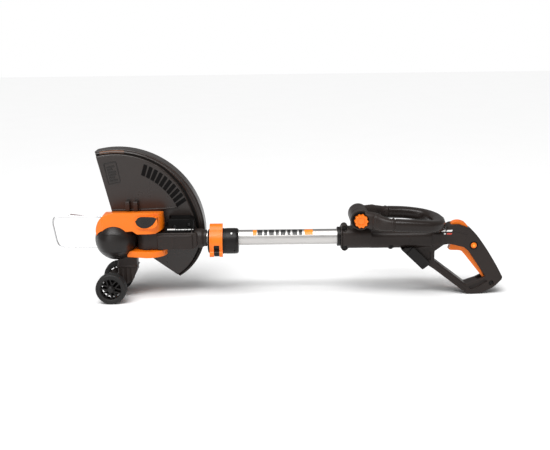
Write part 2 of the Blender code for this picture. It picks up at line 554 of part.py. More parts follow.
def make_yoke():
    crown = curve([(-312.5, 4.0), (-316.0, 20.0), (-311.0, 36.0), (-300.0, 48.0), (-284.0, 53.0)], 4)
    crown += [(-201.0, 52.0), (-198.0, 48.0), (-196.0, 24.0), (-199.5, 19.0)]
    crown += [(-210.0, UPPER_EAR[0]), (-242.0, UPPER_EAR[0]), (-250.0, 20.0), (-283.0, 18.0)]
    plan = arc(TILT_X, 0.0, EAR_RADIUS, -90.0, 55.0, 14)
    plan += [(-214.0, 24.0), (-300.0, 24.0), (-318.0, 14.0), (-318.0, -18.0), (-302.0, -30.0)]
    upper = slab(crown, -34.0, 30.0).rounded(2.5).keep(slab(plan, 0.0, 70.0, "Z"))
    upper.cut(slab([(-27.0, 60.0), (31.0, 60.0), (31.0, 44.0), (-27.0, 53.2)], -330.0, -180.0, "X"))
    lower_plan = arc(TILT_X, 0.0, 33.0, -90.0, 40.0, 12) + [(-210.0, 24.0), (-262.0, 24.0), (-262.0, -22.0)]
    lower = slab(lower_plan, *LOWER_EAR, "Z").rounded(2.0, 1)
    back = box((-262.0, 20.8, -26.0), (-200.0, 24.0, 30.0))
    pin_clear = rod((TILT_X, 0.0), 5.0 + GAP, -40.0, 25.0, "Z", 20)
    yoke = upper.join(back, lower).cut(motor_clearance(), pin_clear)
    pocket = rounded_box(-244.3, 25.7, -204.7, 47.3, 10.7, 5)
    yoke.cut(slab(pocket, -45.0, -13.0))
    body, hole = screw(-300.0, 40.5, 23.4, -18.0, 3.2, 1.5)
    yoke.cut(hole())
    body.finish("yoke_screw", STEEL)
    far = yoke.twin()
    front = box((-400.0, -100.0, 5.0), (-100.0, -SPLIT, 100.0))
    pivot = (TILT_X, 0.0, 0.0)
    yoke.keep(front).finish("yoke_near", ORANGE, pivot)
    far.cut(box((-400.0, -100.0, 5.0), (-100.0, SPLIT, 100.0)))
    far.finish("yoke_far", ORANGE, pivot)
    button = rounded_box(-244.0, 26.0, -205.0, 47.0, 10.4, 5)
    slab(button, -34.0, -18.0).rounded(1.2, 1).finish("tilt_button", BLACK, (-224.5, -18.0, 36.5))
    coil((-224.5, -17.0, 36.5), 4.0, 3.2, 2, "Y").finish("tilt_spring", STEEL)
    pin = [(0.0, 24.0), (5.0, 24.0), (5.0, LOWER_EAR[0] - GAP), (12.0, LOWER_EAR[0] - GAP),
           (12.0, -31.5), (10.0, -33.5), (0.0, -33.5)]
    turned(pin, (TILT_X, 0.0), "Z", 24).finish("pivot_pin", STEEL, pivot)


def make_motor():
    centre = (SPOOL_X, SPOOL_Z)
    inside = [(34.5, 6.0), (34.5, -3.0), (31.5, -16.0), (24.0, -30.5), (14.0, -38.0), (0.0, -39.6)]
    cover = turned(list(MOTOR_PROFILE[::-1]) + inside, centre, "Y", 32)
    cover.finish("motor_cover", BLACK)
    base = [(3.3, 20.0), (3.3, 24.7), (36.0, 24.7), (37.0, 23.0), (37.0, 6.3), (34.0, 6.3), (34.0, 20.0)]
    turned(base, centre, "Y", 32).finish("motor_base", CHARCOAL)
    can = [(0.0, -29.0), (15.0, -29.0), (17.5, -27.0), (17.5, 19.7), (3.3, 19.7), (3.3, 16.5),
           (15.2, 16.5), (15.2, -26.5), (0.0, -26.5)]
    turned(can, centre, "Y").finish("motor_can", STEEL)
    rotor = [(0.0, -24.0), (2.5, -24.0), (2.5, -20.0), (13.0, -20.0), (13.0, 13.0), (2.5, 13.0),
             (2.5, 46.0), (0.0, 46.0)]
    turned(rotor, centre, "Y", 20).finish("motor_rotor", STEEL, (SPOOL_X, 0.0, SPOOL_Z))


def make_spool():
    centre, pivot = (SPOOL_X, SPOOL_Z), (SPOOL_X, 0.0, SPOOL_Z)
    cup = [(2.8, 39.0), (30.0, 39.0), (38.0, 42.0), (40.0, 46.0), (40.0, 63.0), (37.0, 63.0),
           (37.0, 47.0), (35.0, 44.5), (2.8, 43.0)]
    cup = turned(cup, centre, "Y", 28)
    cup.cut(rod((LINE_Y, LINE_EXIT_Z - 0.6), 2.6, LINE_START_X - 6.0, LINE_START_X + 12.0, "X", 12))
    cup.finish("spool_housing", BLACK, pivot)
    reel = [(6.0, 48.5), (34.0, 48.5), (34.0, 50.0), (14.0, 50.0), (14.0, 60.5), (34.0, 60.5),
            (34.0, 62.0), (6.0, 62.0)]
    turned(reel, centre, "Y").finish("line_spool", WHITE, pivot)
    turned([(14.4, 50.4), (28.0, 50.4), (28.0, 60.1), (14.4, 60.1)], centre, "Y").finish(
        "line_winding", NYLON, pivot)
    coil((SPOOL_X, 44.0, SPOOL_Z), 9.0, 3.4, 2, "Y").finish("spool_spring", STEEL, pivot)
    cap = [(0.0, 63.0), (33.0, 63.0), (33.0, 63.3), (40.0, 63.3), (40.0, 65.0), (36.0, 66.6), (0.0, 66.6)]
    lid = turned(cap, centre, "Y", 28).cut(
        turned([(0.0, 60.0), (5.0, 60.0), (5.0, 64.5), (0.0, 64.5)], centre, "Y", 16))
    lid.finish("spool_cap", CHARCOAL, pivot)


def make_line():
    pivot = (SPOOL_X, 0.0, SPOOL_Z)
    eyelet = [(1.3, -315.8), (2.2, -315.8), (2.2, -309.0), (1.3, -309.0)]
    turned(eyelet, (LINE_Y, LINE_EXIT_Z - 0.6), "X", 12).finish("line_eyelet", STEEL, pivot)
    route = [(x, LINE_Y, z) for x, z in LINE_ROUTE]
    tube(curve(route, 4), LINE_RADIUS, 8).finish("cutting_line", NYLON, pivot)


# Guard, its cutter blade and the spacer wire

def edge_radius(angle):
    """How far the guard reaches from the cutting axis in that direction, in degrees."""
    if angle > GUARD_TURN:
        return GUARD_RADIUS
    along = GUARD_TAIL_OFFSET * math.cos(math.radians(angle - GUARD_TURN))
    tail = GUARD_RADIUS - GUARD_TAIL_OFFSET
    return along + math.sqrt(tail ** 2 - GUARD_TAIL_OFFSET ** 2 + along ** 2)


def tail_centre():
    turn = math.radians(GUARD_TURN)
    return GUARD_TAIL_OFFSET * math.cos(turn), GUARD_TAIL_OFFSET * math.sin(turn)


def guard_edge(inset):
    """The guard's outer edge about the cutting axis, moved inwards by inset."""
    tail = GUARD_RADIUS - GUARD_TAIL_OFFSET
    points = arc(0.0, 0.0, GUARD_RADIUS - inset, GUARD_START, GUARD_TURN, 20)
    points += arc(*tail_centre(), tail - inset, GUARD_TURN - 7.0, TAIL_END, 8)
    return points


def face_edge():
    """The edge of the raised face, which keeps a changing distance from the guard's edge."""
    points = []
    for (start, first), (end, last) in zip(FACE_RIM, FACE_RIM[1:]):
        for i in range(3):
            angle = start + (end - start) * i / 3
            points.append((angle, first + (last - first) * i / 3))
    points.append(FACE_RIM[-1])
    return [(math.cos(math.radians(angle)) * (edge_radius(angle) - width),
             math.sin(math.radians(angle)) * (edge_radius(angle) - width)) for angle, width in points]


def about_axis(points):
    return [(SPOOL_X + x, SPOOL_Z + z) for x, z in points]


def make_guard():
    back = GUARD_PLATE + GUARD_WALL
    guard = slab(about_axis(guard_edge(0.0) + [(0.0, 0.0)]), GUARD_PLATE, back)
    skirt = guard_edge(0.1) + guard_edge(GUARD_WALL)[::-1]
    guard.join(slab(about_axis(skirt), GUARD_PLATE + LAP, GUARD_BACK))
    face = slab(about_axis(face_edge() + [(3.0, 1.0)]), GUARD_FRONT, GUARD_PLATE + LAP)
    hub = rod((SPOOL_X, SPOOL_Z), 35.7, GUARD_FRONT + 0.2, GUARD_PLATE + GUARD_WALL + 0.5, "Y", 24)
    guard.join(face, hub)
    for x in (-267.0, -252.5):
        guard.join(box((x, 12.0, 48.0), (x + 7.5, GUARD_FRONT + LAP, 64.5)))
    low, high = -289.0, -262.0
    for z in (WIRE_TOP, WIRE_BOTTOM):
        guard.join(box((low, GUARD_PLATE + 2.0, z - 3.6), (high, 38.4, z + 3.6)))
        guard.cut(rod((WIRE_Y, z), WIRE_RADIUS + GAP, low - 20.0, high + 20.0, "X", 12))
    guard.cut(rod((SPOOL_X, SPOOL_Z), 13.0, 20.0, 42.0, "Y", 20))
    for index, (x, z) in enumerate(((-258.0, 16.0), (-300.0, -16.0))):
        body, hole = screw(x, z, 33.4, -7.5, 3.4, 1.4)
        guard.cut(hole())
        body.finish("guard_screw_%d" % (index + 1), STEEL)
    out = Vector((math.cos(math.radians(-38.0)), math.sin(math.radians(-38.0))))
    along = Vector((-out.y, out.x))
    seat = Vector(tail_centre()) + out * 93.4
    corners = [seat - along * 7.0, seat + along * 7.0]
    corners += [corner - out * 1.4 for corner in reversed(corners)]
    slab(about_axis(corners), 48.0, 59.0).finish("line_cutter", STEEL)
    guard.finish("guard", CHARCOAL)


def make_wire_guard():
    tip = -HALF_LENGTH + WIRE_RADIUS
    side = [(WIRE_END, WIRE_Y, WIRE_TOP), (-300.0, WIRE_Y, WIRE_TOP), (-370.0, WIRE_Y, WIRE_TOP)]
    corner = curve([(-390.0, WIRE_Y, WIRE_TOP), (-400.5, WIRE_Y, 31.5), (tip, WIRE_Y, 22.0)], 4)
    bend = curve([(tip + 5.5, WIRE_Y, -11.0), (tip + 9.5, WIRE_Y, -19.0), (-384.0, WIRE_Y, WIRE_BOTTOM)], 4)
    back = [(-370.0, WIRE_Y, WIRE_BOTTOM), (-300.0, WIRE_Y, WIRE_BOTTOM), (WIRE_END, WIRE_Y, WIRE_BOTTOM)]
    tube(side + corner + bend + back, WIRE_RADIUS, 8).finish("wire_guard", STEEL)


# Wheels

def make_wheels():
    centre = (WHEEL_X, WHEEL_Z)
    barrel = turned([(0.0, -34.0), (17.0, -34.0), (17.0, -30.0), (12.0, -16.0), (12.0, 16.0),
                     (17.0, 30.0), (17.0, 34.0), (0.0, 34.0)], centre, "Y", 20)
    stem = slab([(-281.0, -30.0), (-247.0, -24.0), (-247.0, -56.0), (-256.0, -74.0), (-272.0, -84.0),
                 (-288.0, -88.0), (-295.0, -70.0), (-281.0, -60.0)], -14.0, 14.0).rounded(2.5, 1)
    bore = rod(centre, AXLE_RADIUS + GAP, -40.0, 40.0, "Y", 16)
    stem.join(barrel).cut(motor_clearance(), bore)
    stem.cut(box((-262.5, -30.0, LOWER_EAR[0] - GAP), (-240.0, 30.0, 0.0)))
    stem.finish("wheel_bracket", CHARCOAL)
    rod(centre, AXLE_RADIUS, -53.6, 53.6, "Y", 16).finish("wheel_axle", STEEL)
    half = WHEEL_WIDTH / 2
    for name, y in (("near", -WHEEL_TRACK / 2), ("far", WHEEL_TRACK / 2)):
        rim = turned([(19.0, y - half + 1.0), (24.5, y - half), (WHEEL_RADIUS, y - half + 2.5),
                      (WHEEL_RADIUS, y + half - 2.5), (24.5, y + half), (19.0, y + half - 1.0)],
                     centre, "Y", 24)
        hub = rod(centre, 6.6, y - half + 1.5, y + half - 1.0, "Y", 16)
        for index in range(3):
            turn = Matrix.Rotation(math.radians(60.0 * index + 15.0), 4, "Y")
            place = Matrix.Translation((WHEEL_X, 0.0, WHEEL_Z)) @ turn
            for z in (-3.4, 3.4):
                hub.join(box((-20.5, y - 4.0, z - 1.3), (20.5, y + 4.0, z + 1.3)).moved(place))
        rim.join(hub).cut(rod(centre, AXLE_RADIUS + GAP, y - 20.0, y + 20.0, "Y", 16))
        rim.finish("wheel_" + name, BLACK, (WHEEL_X, y, WHEEL_Z))
        side = -1.0 if name == "near" else 1.0
        end = turned([(0.0, side * 55.6), (4.6, side * 55.2), (5.4, side * 53.9), (5.4, side * 53.3),
                      (AXLE_RADIUS + GAP, side * 53.3), (AXLE_RADIUS + GAP, side * 53.9),
                      (0.0, side * 53.9)], centre, "Y", 16)
        end.finish("axle_cap_" + name, STEEL)


def main():
    for thing in list(bpy.data.objects):
        bpy.data.objects.remove(thing)
    make_housing()
    make_controls()
    make_electrics()
    make_battery_dock()
    make_aux_handle()
    make_shaft()
    make_clamp()
    make_neck()
    make_yoke()
    make_motor()
    make_spool()
    make_line()
    make_guard()
    make_wire_guard()
    make_wheels()


main()
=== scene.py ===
"""Cordless lawn edger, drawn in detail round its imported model.

Shapes are drawn in millimetres in shaft coordinates: X runs along the shaft with the cutting head
at -X, Y runs across the tool, and Z is up from the shaft's axis. emit() turns a shape into metres
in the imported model's frame, gives it its material and lets it ride on its body.
"""
import math

import bmesh
import bpy
from mathutils import Matrix, Vector
from mathutils.geometry import tessellate_polygon


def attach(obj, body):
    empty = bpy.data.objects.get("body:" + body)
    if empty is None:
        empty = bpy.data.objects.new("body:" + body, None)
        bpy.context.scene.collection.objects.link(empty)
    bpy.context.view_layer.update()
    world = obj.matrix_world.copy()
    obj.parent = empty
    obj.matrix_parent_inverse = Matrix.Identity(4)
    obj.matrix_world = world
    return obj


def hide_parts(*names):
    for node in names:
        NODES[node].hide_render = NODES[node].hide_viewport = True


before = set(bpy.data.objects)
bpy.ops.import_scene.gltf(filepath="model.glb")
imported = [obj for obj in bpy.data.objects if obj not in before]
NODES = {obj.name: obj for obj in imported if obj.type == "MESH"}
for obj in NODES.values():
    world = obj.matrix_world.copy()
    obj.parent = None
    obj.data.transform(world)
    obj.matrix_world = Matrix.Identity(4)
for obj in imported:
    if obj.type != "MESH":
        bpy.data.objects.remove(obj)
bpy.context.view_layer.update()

# Shared dimensions, in millimetres. A pair is where an axis stands: x and z, or y and z along the shaft
SHAFT_HEIGHT = 106              # shaft axis above the ground
HALF_LENGTH = 405.5
SPLIT = 0.15                    # half of the gap where two shells meet
SPOOL = (-283, 1)
TILT_X = -226
WHEEL = (-289, -79)
AUX = (150, 35.5)
TRIGGER, FEED = (318, -12), (352, -16)
CLAMP, CLAMP_PIN = (0, -6), (-20.5, -24)
DOCK_TOP, DOCK_END = (222, -19.9), (260.5, -57)
TUBE_OUTER, PRINT_BASE, PRINT_TOP = 13.5, 13.40, 13.58
LINE_Y, LINE_RADIUS = 57.5, 0.825
LINE_EXIT = (LINE_Y, 27.4)
WIRE_Y, WIRE_TOP, WIRE_BOTTOM, WIRE_RADIUS = 36, 34, -23, 1.5
GUARD_RADIUS, GUARD_START, GUARD_SPAN = 156.5, 103.3, 139.3    # the angles in degrees
TAIL_TURN, TAIL_OFFSET = 5, 59              # where the guard's tail starts, and its tighter centre
FACE_RIM = ((103.3, 9), (60, 10), (42, 13), (20, 16.5), (5, 16), (-12, 8), (-36, 5.5))
HOUSING_SCREWS = ((123.3, 16.6, 6.3, -11.4), (123.3, -17.9, 6.3, -11.4),   # x, z, boss radius
                  (205, -17.2, 5, -11.4), (386, -86, 4.6, -13))  # and the head's y
NECK_SCREWS = ((-177, 24), (-152, 28))
GUARD_SCREWS = ((-258, 16), (-300, -16))
YOKE_SCREW = (-300, 40.5)

# The camera's angles in degrees and distances in metres, and the levels of light
CAMERA_TILT, CAMERA_ROLL = 13, -0.7
CAMERA_DISTANCE, CAMERA_AIM, CAMERA_LENS = 1.65, 0.12792, 60.67
FILL_LIGHT, SUN_LIGHT, SUN_SPREAD = 0.27, 2.75, 50


# Materials

def node_group(name):
    made = bpy.data.materials.new(name)
    made.use_nodes = True
    tree = made.node_tree
    return made, tree, tree.nodes["Principled BSDF"]


def noise(tree, scale, detail=4, rough=0.55, stretch=(1, 1, 1)):
    """Noise in the piece's own coordinates, in metres, so that scale is waves to a metre."""
    where = tree.nodes.new("ShaderNodeTexCoord")
    mapping = tree.nodes.new("ShaderNodeMapping")
    mapping.inputs["Scale"].default_value = stretch
    tree.links.new(where.outputs["Object"], mapping.inputs["Vector"])
    made = tree.nodes.new("ShaderNodeTexNoise")
    made.inputs["Scale"].default_value = scale
    made.inputs["Detail"].default_value = detail
    made.inputs["Roughness"].default_value = rough
    tree.links.new(mapping.outputs["Vector"], made.inputs["Vector"])
    return made.outputs["Fac"]


def ramp(tree, source, low, high, start=0.3, end=0.7):
    """Maps a grey value to a value or a colour between low and high."""
    made = tree.nodes.new("ShaderNodeMapRange")
    made.inputs["From Min"].default_value = start
    made.inputs["From Max"].default_value = end
    made.inputs["To Min"].default_value = low
    made.inputs["To Max"].default_value = high
    tree.links.new(source, made.inputs["Value"])
    return made.outputs["Result"]


def blend_colour(tree, source, first, second):
    made = tree.nodes.new("ShaderNodeMix")
    made.data_type = "RGBA"
    made.inputs[6].default_value = (*first, 1)
    made.inputs[7].default_value = (*second, 1)
    tree.links.new(source, made.inputs[0])
    return made.outputs[2]


def bump(tree, height, distance, strength):
    made = tree.nodes.new("ShaderNodeBump")
    made.inputs["Strength"].default_value = strength
    made.inputs["Distance"].default_value = distance
    tree.links.new(height, made.inputs["Height"])
    return made.outputs["Normal"]


def plastic(name, colour, rough, grain=0.05, grain_scale=2600, vary=0.10, coat=0, wear=0.14, gloss=0.30):
    """Moulded plastic: spark-eroded grain, slow mottling of tone and gloss, paler worn edges."""
    made, tree, shader = node_group(name)
    slow = noise(tree, 22, 5)
    fine = noise(tree, grain_scale, 2)
    dark = tuple(c * (1 - vary) for c in colour)
    light = tuple(c * (1 + vary) for c in colour)
    tone = blend_colour(tree, ramp(tree, slow, 0, 1), dark, light)
    edge = tree.nodes.new("ShaderNodeNewGeometry").outputs["Pointiness"]
    worn = tree.nodes.new("ShaderNodeMix")
    worn.data_type = "RGBA"
    worn.inputs[7].default_value = (*(c * 0.75 + 0.25 * max(colour) + 0.012 for c in colour), 1)
    tree.links.new(tone, worn.inputs[6])
    tree.links.new(ramp(tree, edge, 0, wear, 0.52, 0.60), worn.inputs[0])
    tree.links.new(worn.outputs[2], shader.inputs["Base Color"])
    tree.links.new(ramp(tree, slow, rough - 0.05, rough + 0.06), shader.inputs["Roughness"])
    tree.links.new(bump(tree, fine, 0.00008, grain), shader.inputs["Normal"])
    shader.inputs["Specular IOR Level"].default_value = gloss
    shader.inputs["Coat Weight"].default_value = coat
    shader.inputs["Coat Roughness"].default_value = 0.12
    return made


def metal(name, colour, rough, stretch=(1, 1, 1), grain=0.05, scale=900):
    """Bare metal with drawing or rolling lines along the short side of stretch."""
    made, tree, shader = node_group(name)
    lines = noise(tree, scale, 3, 0.6, stretch)
    slow = noise(tree, 18, 3)
    dark = tuple(c * 0.9 for c in colour)
    tone = blend_colour(tree, ramp(tree, lines, 0, 1), dark, colour)
    tree.links.new(tone, shader.inputs["Base Color"])
    tree.links.new(ramp(tree, slow, rough - 0.04, rough + 0.05), shader.inputs["Roughness"])
    tree.links.new(bump(tree, lines, 0.00004, grain), shader.inputs["Normal"])
    shader.inputs["Metallic"].default_value = 1
    return made


def printed(name, colour, rough=0.4):
    """A pad-printed or moulded-in mark with slightly uneven ink."""
    made, tree, shader = node_group(name)
    ink = noise(tree, 700, 4)
    tone = blend_colour(tree, ramp(tree, ink, 0, 1), tuple(c * 0.88 for c in colour), colour)
    tree.links.new(tone, shader.inputs["Base Color"])
    shader.inputs["Roughness"].default_value = rough
    return made


def rubber(name, colour, rough):
    """Soft over-moulded grip with a fine leathery stipple."""
    made, tree, shader = node_group(name)
    where = tree.nodes.new("ShaderNodeTexCoord")
    cells = tree.nodes.new("ShaderNodeTexVoronoi")
    cells.inputs["Scale"].default_value = 1400
    tree.links.new(where.outputs["Object"], cells.inputs["Vector"])
    slow = noise(tree, 30, 4)
    tone = blend_colour(tree, ramp(tree, slow, 0, 1), tuple(c * 0.88 for c in colour), colour)
    tree.links.new(tone, shader.inputs["Base Color"])
    tree.links.new(ramp(tree, slow, rough - 0.05, rough + 0.05), shader.inputs["Roughness"])
    tree.links.new(bump(tree, cells.outputs["Distance"], 0.0001, 0.12), shader.inputs["Normal"])
    shader.inputs["Specular IOR Level"].default_value = 0.25
    return made


def line_material():
    """Extruded nylon, translucent on the real tool but shaded opaque, with faint draw lines along its length.
    """
    made, tree, shader = node_group("nylon_line")
    lines = noise(tree, 1500, 3, 0.6, (0.08, 1, 1))
    tone = blend_colour(tree, ramp(tree, lines, 0, 1), (0.05, 0.006, 0.010), (0.12, 0.02, 0.025))
    tree.links.new(tone, shader.inputs["Base Color"])
    shader.inputs["Roughness"].default_value = 0.32
    return made


def board_material():
    """Green solder mask over copper tracks."""
    made, tree, shader = node_group("circuit_board")
    where = tree.nodes.new("ShaderNodeTexCoord")
    tracks = tree.nodes.new("ShaderNodeTexBrick")
    tracks.inputs["Scale"].default_value = 160
    tracks.inputs["Color1"].default_value = (0.010, 0.13, 0.05, 1)
    tracks.inputs["Color2"].default_value = (0.012, 0.16, 0.06, 1)
    tracks.inputs["Mortar"].default_value = (0.03, 0.30, 0.12, 1)
    tree.links.new(where.outputs["Object"], tracks.inputs["Vector"])
    tree.links.new(tracks.outputs["Color"], shader.inputs["Base Color"])
    shader.inputs["Roughness"].default_value = 0.35
    return made


CHARCOAL = plastic("charcoal_plastic", (0.0205, 0.0150, 0.0130), 0.40, 0.16, gloss=0.22)
GUARD = plastic("guard_plastic", (0.0195, 0.0140, 0.0118), 0.30, 0.08, 1800, gloss=0.42)
DARK = plastic("black_plastic", (0.0075, 0.0062, 0.0058), 0.34, 0.08, gloss=0.22)
GLOSS = plastic("gloss_black_plastic", (0.0110, 0.0088, 0.0079), 0.34, 0.05, gloss=0.30)
# The blackest plastic: raised ribs, rings and marks, and also the painted shade in the guard rim's groove.
RIB_AND_SHADE = plastic("rib_and_painted_shade_plastic", (0.0022, 0.0019, 0.0018), 0.50, 0.10, gloss=0.08)
ORANGE = plastic("orange_plastic", (0.82, 0.165, 0.0035), 0.36, 0.05, vary=0.05, coat=0.12, wear=0.05,
                 gloss=0.3)
AMBER = plastic("amber_plastic", (0.90, 0.44, 0.045), 0.32, 0.04, vary=0.05, coat=0.2, wear=0)
# Painted reflection: this glossy brown stands for the streak of light along the guard rim's front lip.
RIM_REFLECTION_BROWN = plastic("painted_reflection_brown_plastic", (0.22, 0.105, 0.06), 0.22, 0.02, vary=0.05, coat=0.5, wear=0)
WHITE = plastic("white_plastic", (0.75, 0.75, 0.73), 0.40, 0.08, vary=0.03)
GRIP = rubber("soft_grip", (0.0165, 0.0120, 0.0103), 0.28)
TYRE = rubber("wheel_rubber", (0.014, 0.0132, 0.013), 0.50)
ALUMINIUM = metal("drawn_aluminium", (0.60, 0.585, 0.57), 0.40, (0.03, 1, 1), 0.08)
STEEL = metal("steel", (0.62, 0.62, 0.63), 0.22, (0.2, 1, 1))
DARK_STEEL = metal("blackened_steel", (0.035, 0.034, 0.034), 0.45)
BRASS = metal("brass", (0.80, 0.60, 0.28), 0.28)
NYLON = line_material()
BOARD = board_material()
INK_WHITE = printed("white_ink", (0.80, 0.80, 0.78))
INK_RED = printed("red_ink", (0.55, 0.05, 0.03))
INK_BLACK = printed("black_ink", (0.012, 0.012, 0.012), 0.35)
INK_ORANGE = printed("orange_ink", (0.95, 0.25, 0.01), 0.35)


# Shapes

AXES = {"X": Matrix(((0, 0, 1), (1, 0, 0), (0, 1, 0))),
        "Y": Matrix(((1, 0, 0), (0, 0, 1), (0, 1, 0))),
        "Z": Matrix(((1, 0, 0), (0, 1, 0), (0, 0, 1)))}
TO_ROW = Matrix.Translation((0, 0, SHAFT_HEIGHT / 1000)) @ Matrix.Scale(0.001, 4)


class Solid:
    """One closed body while it is being shaped."""

    def __init__(self, bm):
        bmesh.ops.recalc_face_normals(bm, faces=bm.faces[:])
        mesh = bpy.data.meshes.new("shape")
        bm.to_mesh(mesh)
        bm.free()
        self.object = bpy.data.objects.new("shape", mesh)
        self.mixed = False      # whether it holds bodies that run into each other
        bpy.context.scene.collection.objects.link(self.object)

    def apply(self, modifier):
        depsgraph = bpy.context.evaluated_depsgraph_get()
        mesh = bpy.data.meshes.new_from_object(self.object.evaluated_get(depsgraph))
        self.object.modifiers.remove(modifier)
        self.object.data = mesh
        return self

    def boolean(self, others, operation):
        for other in others:
            modifier = self.object.modifiers.new("boolean", "BOOLEAN")
            modifier.operation = operation
            modifier.use_self = self.mixed or other.mixed
            modifier.object = other.object
            self.apply(modifier).weld()
            bpy.data.objects.remove(other.object)
        return self

    def weld(self, distance=0.003):
        """Closes the hairline slits that a cut along a curved face can leave."""
        bm = bmesh.new()
        bm.from_mesh(self.object.data)
        bmesh.ops.remove_doubles(bm, verts=bm.verts[:], dist=distance)
        bmesh.ops.dissolve_degenerate(bm, edges=bm.edges[:], dist=distance)
        slits = [edge for edge in bm.edges if edge.is_boundary]
        bmesh.ops.holes_fill(bm, edges=slits, sides=4)
        bm.to_mesh(self.object.data)
        bm.free()

    def cut(self, *others):
        return self.boolean(others, "DIFFERENCE")

    def join(self, *others):
        return self.boolean(others, "UNION")

    def keep(self, *others):
        return self.boolean(others, "INTERSECT")

    def add(self, *others):
        """Puts other bodies into the same piece, without joining their skins."""
        bm = bmesh.new()
        bm.from_mesh(self.object.data)
        for other in others:
            bm.from_mesh(other.object.data)
            bpy.data.objects.remove(other.object)
        bm.to_mesh(self.object.data)
        bm.free()
        self.mixed = True
        return self

    def rounded(self, width, segments=3, angle=35):
        modifier = self.object.modifiers.new("bevel", "BEVEL")
        modifier.width = width
        modifier.segments = segments
        modifier.limit_method = "ANGLE"
        modifier.angle_limit = math.radians(angle)
        return self.apply(modifier)

    def moulded(self, voxel, passes=6):
        """Melts the bodies into one skin with small fillets, as a mould leaves it."""
        modifier = self.object.modifiers.new("remesh", "REMESH")
        modifier.mode = "VOXEL"
        modifier.voxel_size = voxel
        self.apply(modifier)
        self.mixed = False
        modifier = self.object.modifiers.new("smooth", "SMOOTH")
        modifier.factor = 0.5
        modifier.iterations = passes
        return self.apply(modifier)

    def moved(self, matrix):
        self.object.data.transform(matrix)
        return self

    def twin(self):
        other = Solid.__new__(Solid)
        other.mixed = self.mixed
        other.object = self.object.copy()
        other.object.data = self.object.data.copy()
        bpy.context.scene.collection.objects.link(other.object)
        return other


def emit(solid, name, look, body, *nodes, smooth=38):
    """Makes a shape into a finished piece that rides on a body and stands for CAD nodes."""
    piece = solid.object
    piece.name = name
    piece.data.name = name
    piece.data.transform(TO_ROW)
    piece.data.materials.clear()
    piece.data.materials.append(look)
    piece.data.shade_smooth()
    piece.data.set_sharp_from_angle(angle=math.radians(smooth))
    even = piece.modifiers.new("even_shading", "WEIGHTED_NORMAL")
    even.keep_sharp = True
    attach(piece, body)
    if nodes:
        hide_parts(*nodes)
    return piece


def emit_halves(solid, name, look, body, node=None):
    """Splits a shape at the tool's middle plane into a near and a far piece."""
    other = solid.twin()
    for word, shape, side in (("near", solid, -1), ("far", other, 1)):
        nodes = [node % word] if node else []
        emit(shape.keep(half(side)), name % word, look, body, *nodes)


# Outlines and basic bodies

def arc(centre_a, centre_b, radius, start, end, count):
    angles = [math.radians(start + (end - start) * i / count) for i in range(count + 1)]
    return [(centre_a + radius * math.cos(t), centre_b + radius * math.sin(t)) for t in angles]


def disc(centre_a, centre_b, radius, count=48):
    return arc(centre_a, centre_b, radius, 0, 360, count)[:-1]


def rounded_box(low_a, low_b, high_a, high_b, radius, count=8):
    corners = ((high_a - radius, high_b - radius, 0), (low_a + radius, high_b - radius, 90),
               (low_a + radius, low_b + radius, 180), (high_a - radius, low_b + radius, 270))
    points = []
    for a, b, start in corners:
        points += arc(a, b, radius, start, start + 90, count)
    return points


def curve(points, steps=4):
    knots = [Vector(p) for p in points]
    knots = [2 * knots[0] - knots[1]] + knots + [2 * knots[-1] - knots[-2]]
    line = []
    for a, b, c, d in zip(knots, knots[1:], knots[2:], knots[3:]):
        for i in range(steps):
            t = i / steps
            line.append(0.5 * (2 * b + t * (c - a) + t * t * (2 * a - 5 * b + 4 * c - d)
                               + t * t * t * (3 * b - a - 3 * c + d)))
    line.append(knots[-2])
    return [tuple(p) for p in line]


def slab(outline, low, high, axis="Y", holes=()):
    """An outline extruded along an axis: (x, z) along Y, (y, z) along X, (x, y) along Z."""
    loops = [list(outline)] + [list(hole) for hole in holes]
    flat = [Vector((a, b, 0)) for loop in loops for a, b in loop]
    turn = AXES[axis]
    bm = bmesh.new()
    bottom = [bm.verts.new(turn @ Vector((p.x, p.y, low))) for p in flat]
    top = [bm.verts.new(turn @ Vector((p.x, p.y, high))) for p in flat]
    for triangle in tessellate_polygon([[Vector((a, b, 0)) for a, b in loop] for loop in loops]):
        bm.faces.new([bottom[i] for i in triangle])
        bm.faces.new([top[i] for i in reversed(triangle)])
    start = 0
    for loop in loops:
        count = len(loop)
        for i in range(count):
            a, b = start + i, start + (i + 1) % count
            bm.faces.new((bottom[a], bottom[b], top[b], top[a]))
        start += count
    bmesh.ops.dissolve_limit(bm, angle_limit=math.radians(0.3), verts=bm.verts[:], edges=bm.edges[:],
                             delimit=set())
    return Solid(bm)


def box(low, high):
    outline = [(low[0], low[2]), (high[0], low[2]), (high[0], high[2]), (low[0], high[2])]
    return slab(outline, low[1], high[1], "Y")


def turned(profile, centre=(0, 0), axis="X", count=72):
    turn = AXES[axis]
    bm = bmesh.new()
    rings = []
    for radius, along in profile:
        steps = 1 if radius == 0 else count
        ring = [bm.verts.new(turn @ Vector((a, b, along)))
                for a, b in arc(*centre, radius, 0, 360, steps)[:-1]]
        rings.append(ring)
    pairs = list(zip(rings, rings[1:]))
    if profile[0][0] > 0:
        pairs.append((rings[-1], rings[0]))
    for first, second in pairs:
        for i in range(count):
            j = (i + 1) % count
            quad = (first[i % len(first)], first[j % len(first)],
                    second[j % len(second)], second[i % len(second)])
            bm.faces.new(dict.fromkeys(quad))
    return Solid(bm)


def rod(centre, radius, low, high, axis="Y", count=48):
    return slab(disc(*centre, radius, count), low, high, axis)


def skinned(rings):
    """Rings of points joined one to the next into one body with flat ends."""
    bm = bmesh.new()
    loops = [[bm.verts.new(point) for point in ring] for ring in rings]
    bm.faces.new(loops[0])
    bm.faces.new(loops[-1])
    for first, second in zip(loops, loops[1:]):
        for i in range(len(first)):
            j = (i + 1) % len(first)
            bm.faces.new((first[i], first[j], second[j], second[i]))
    return Solid(bm)


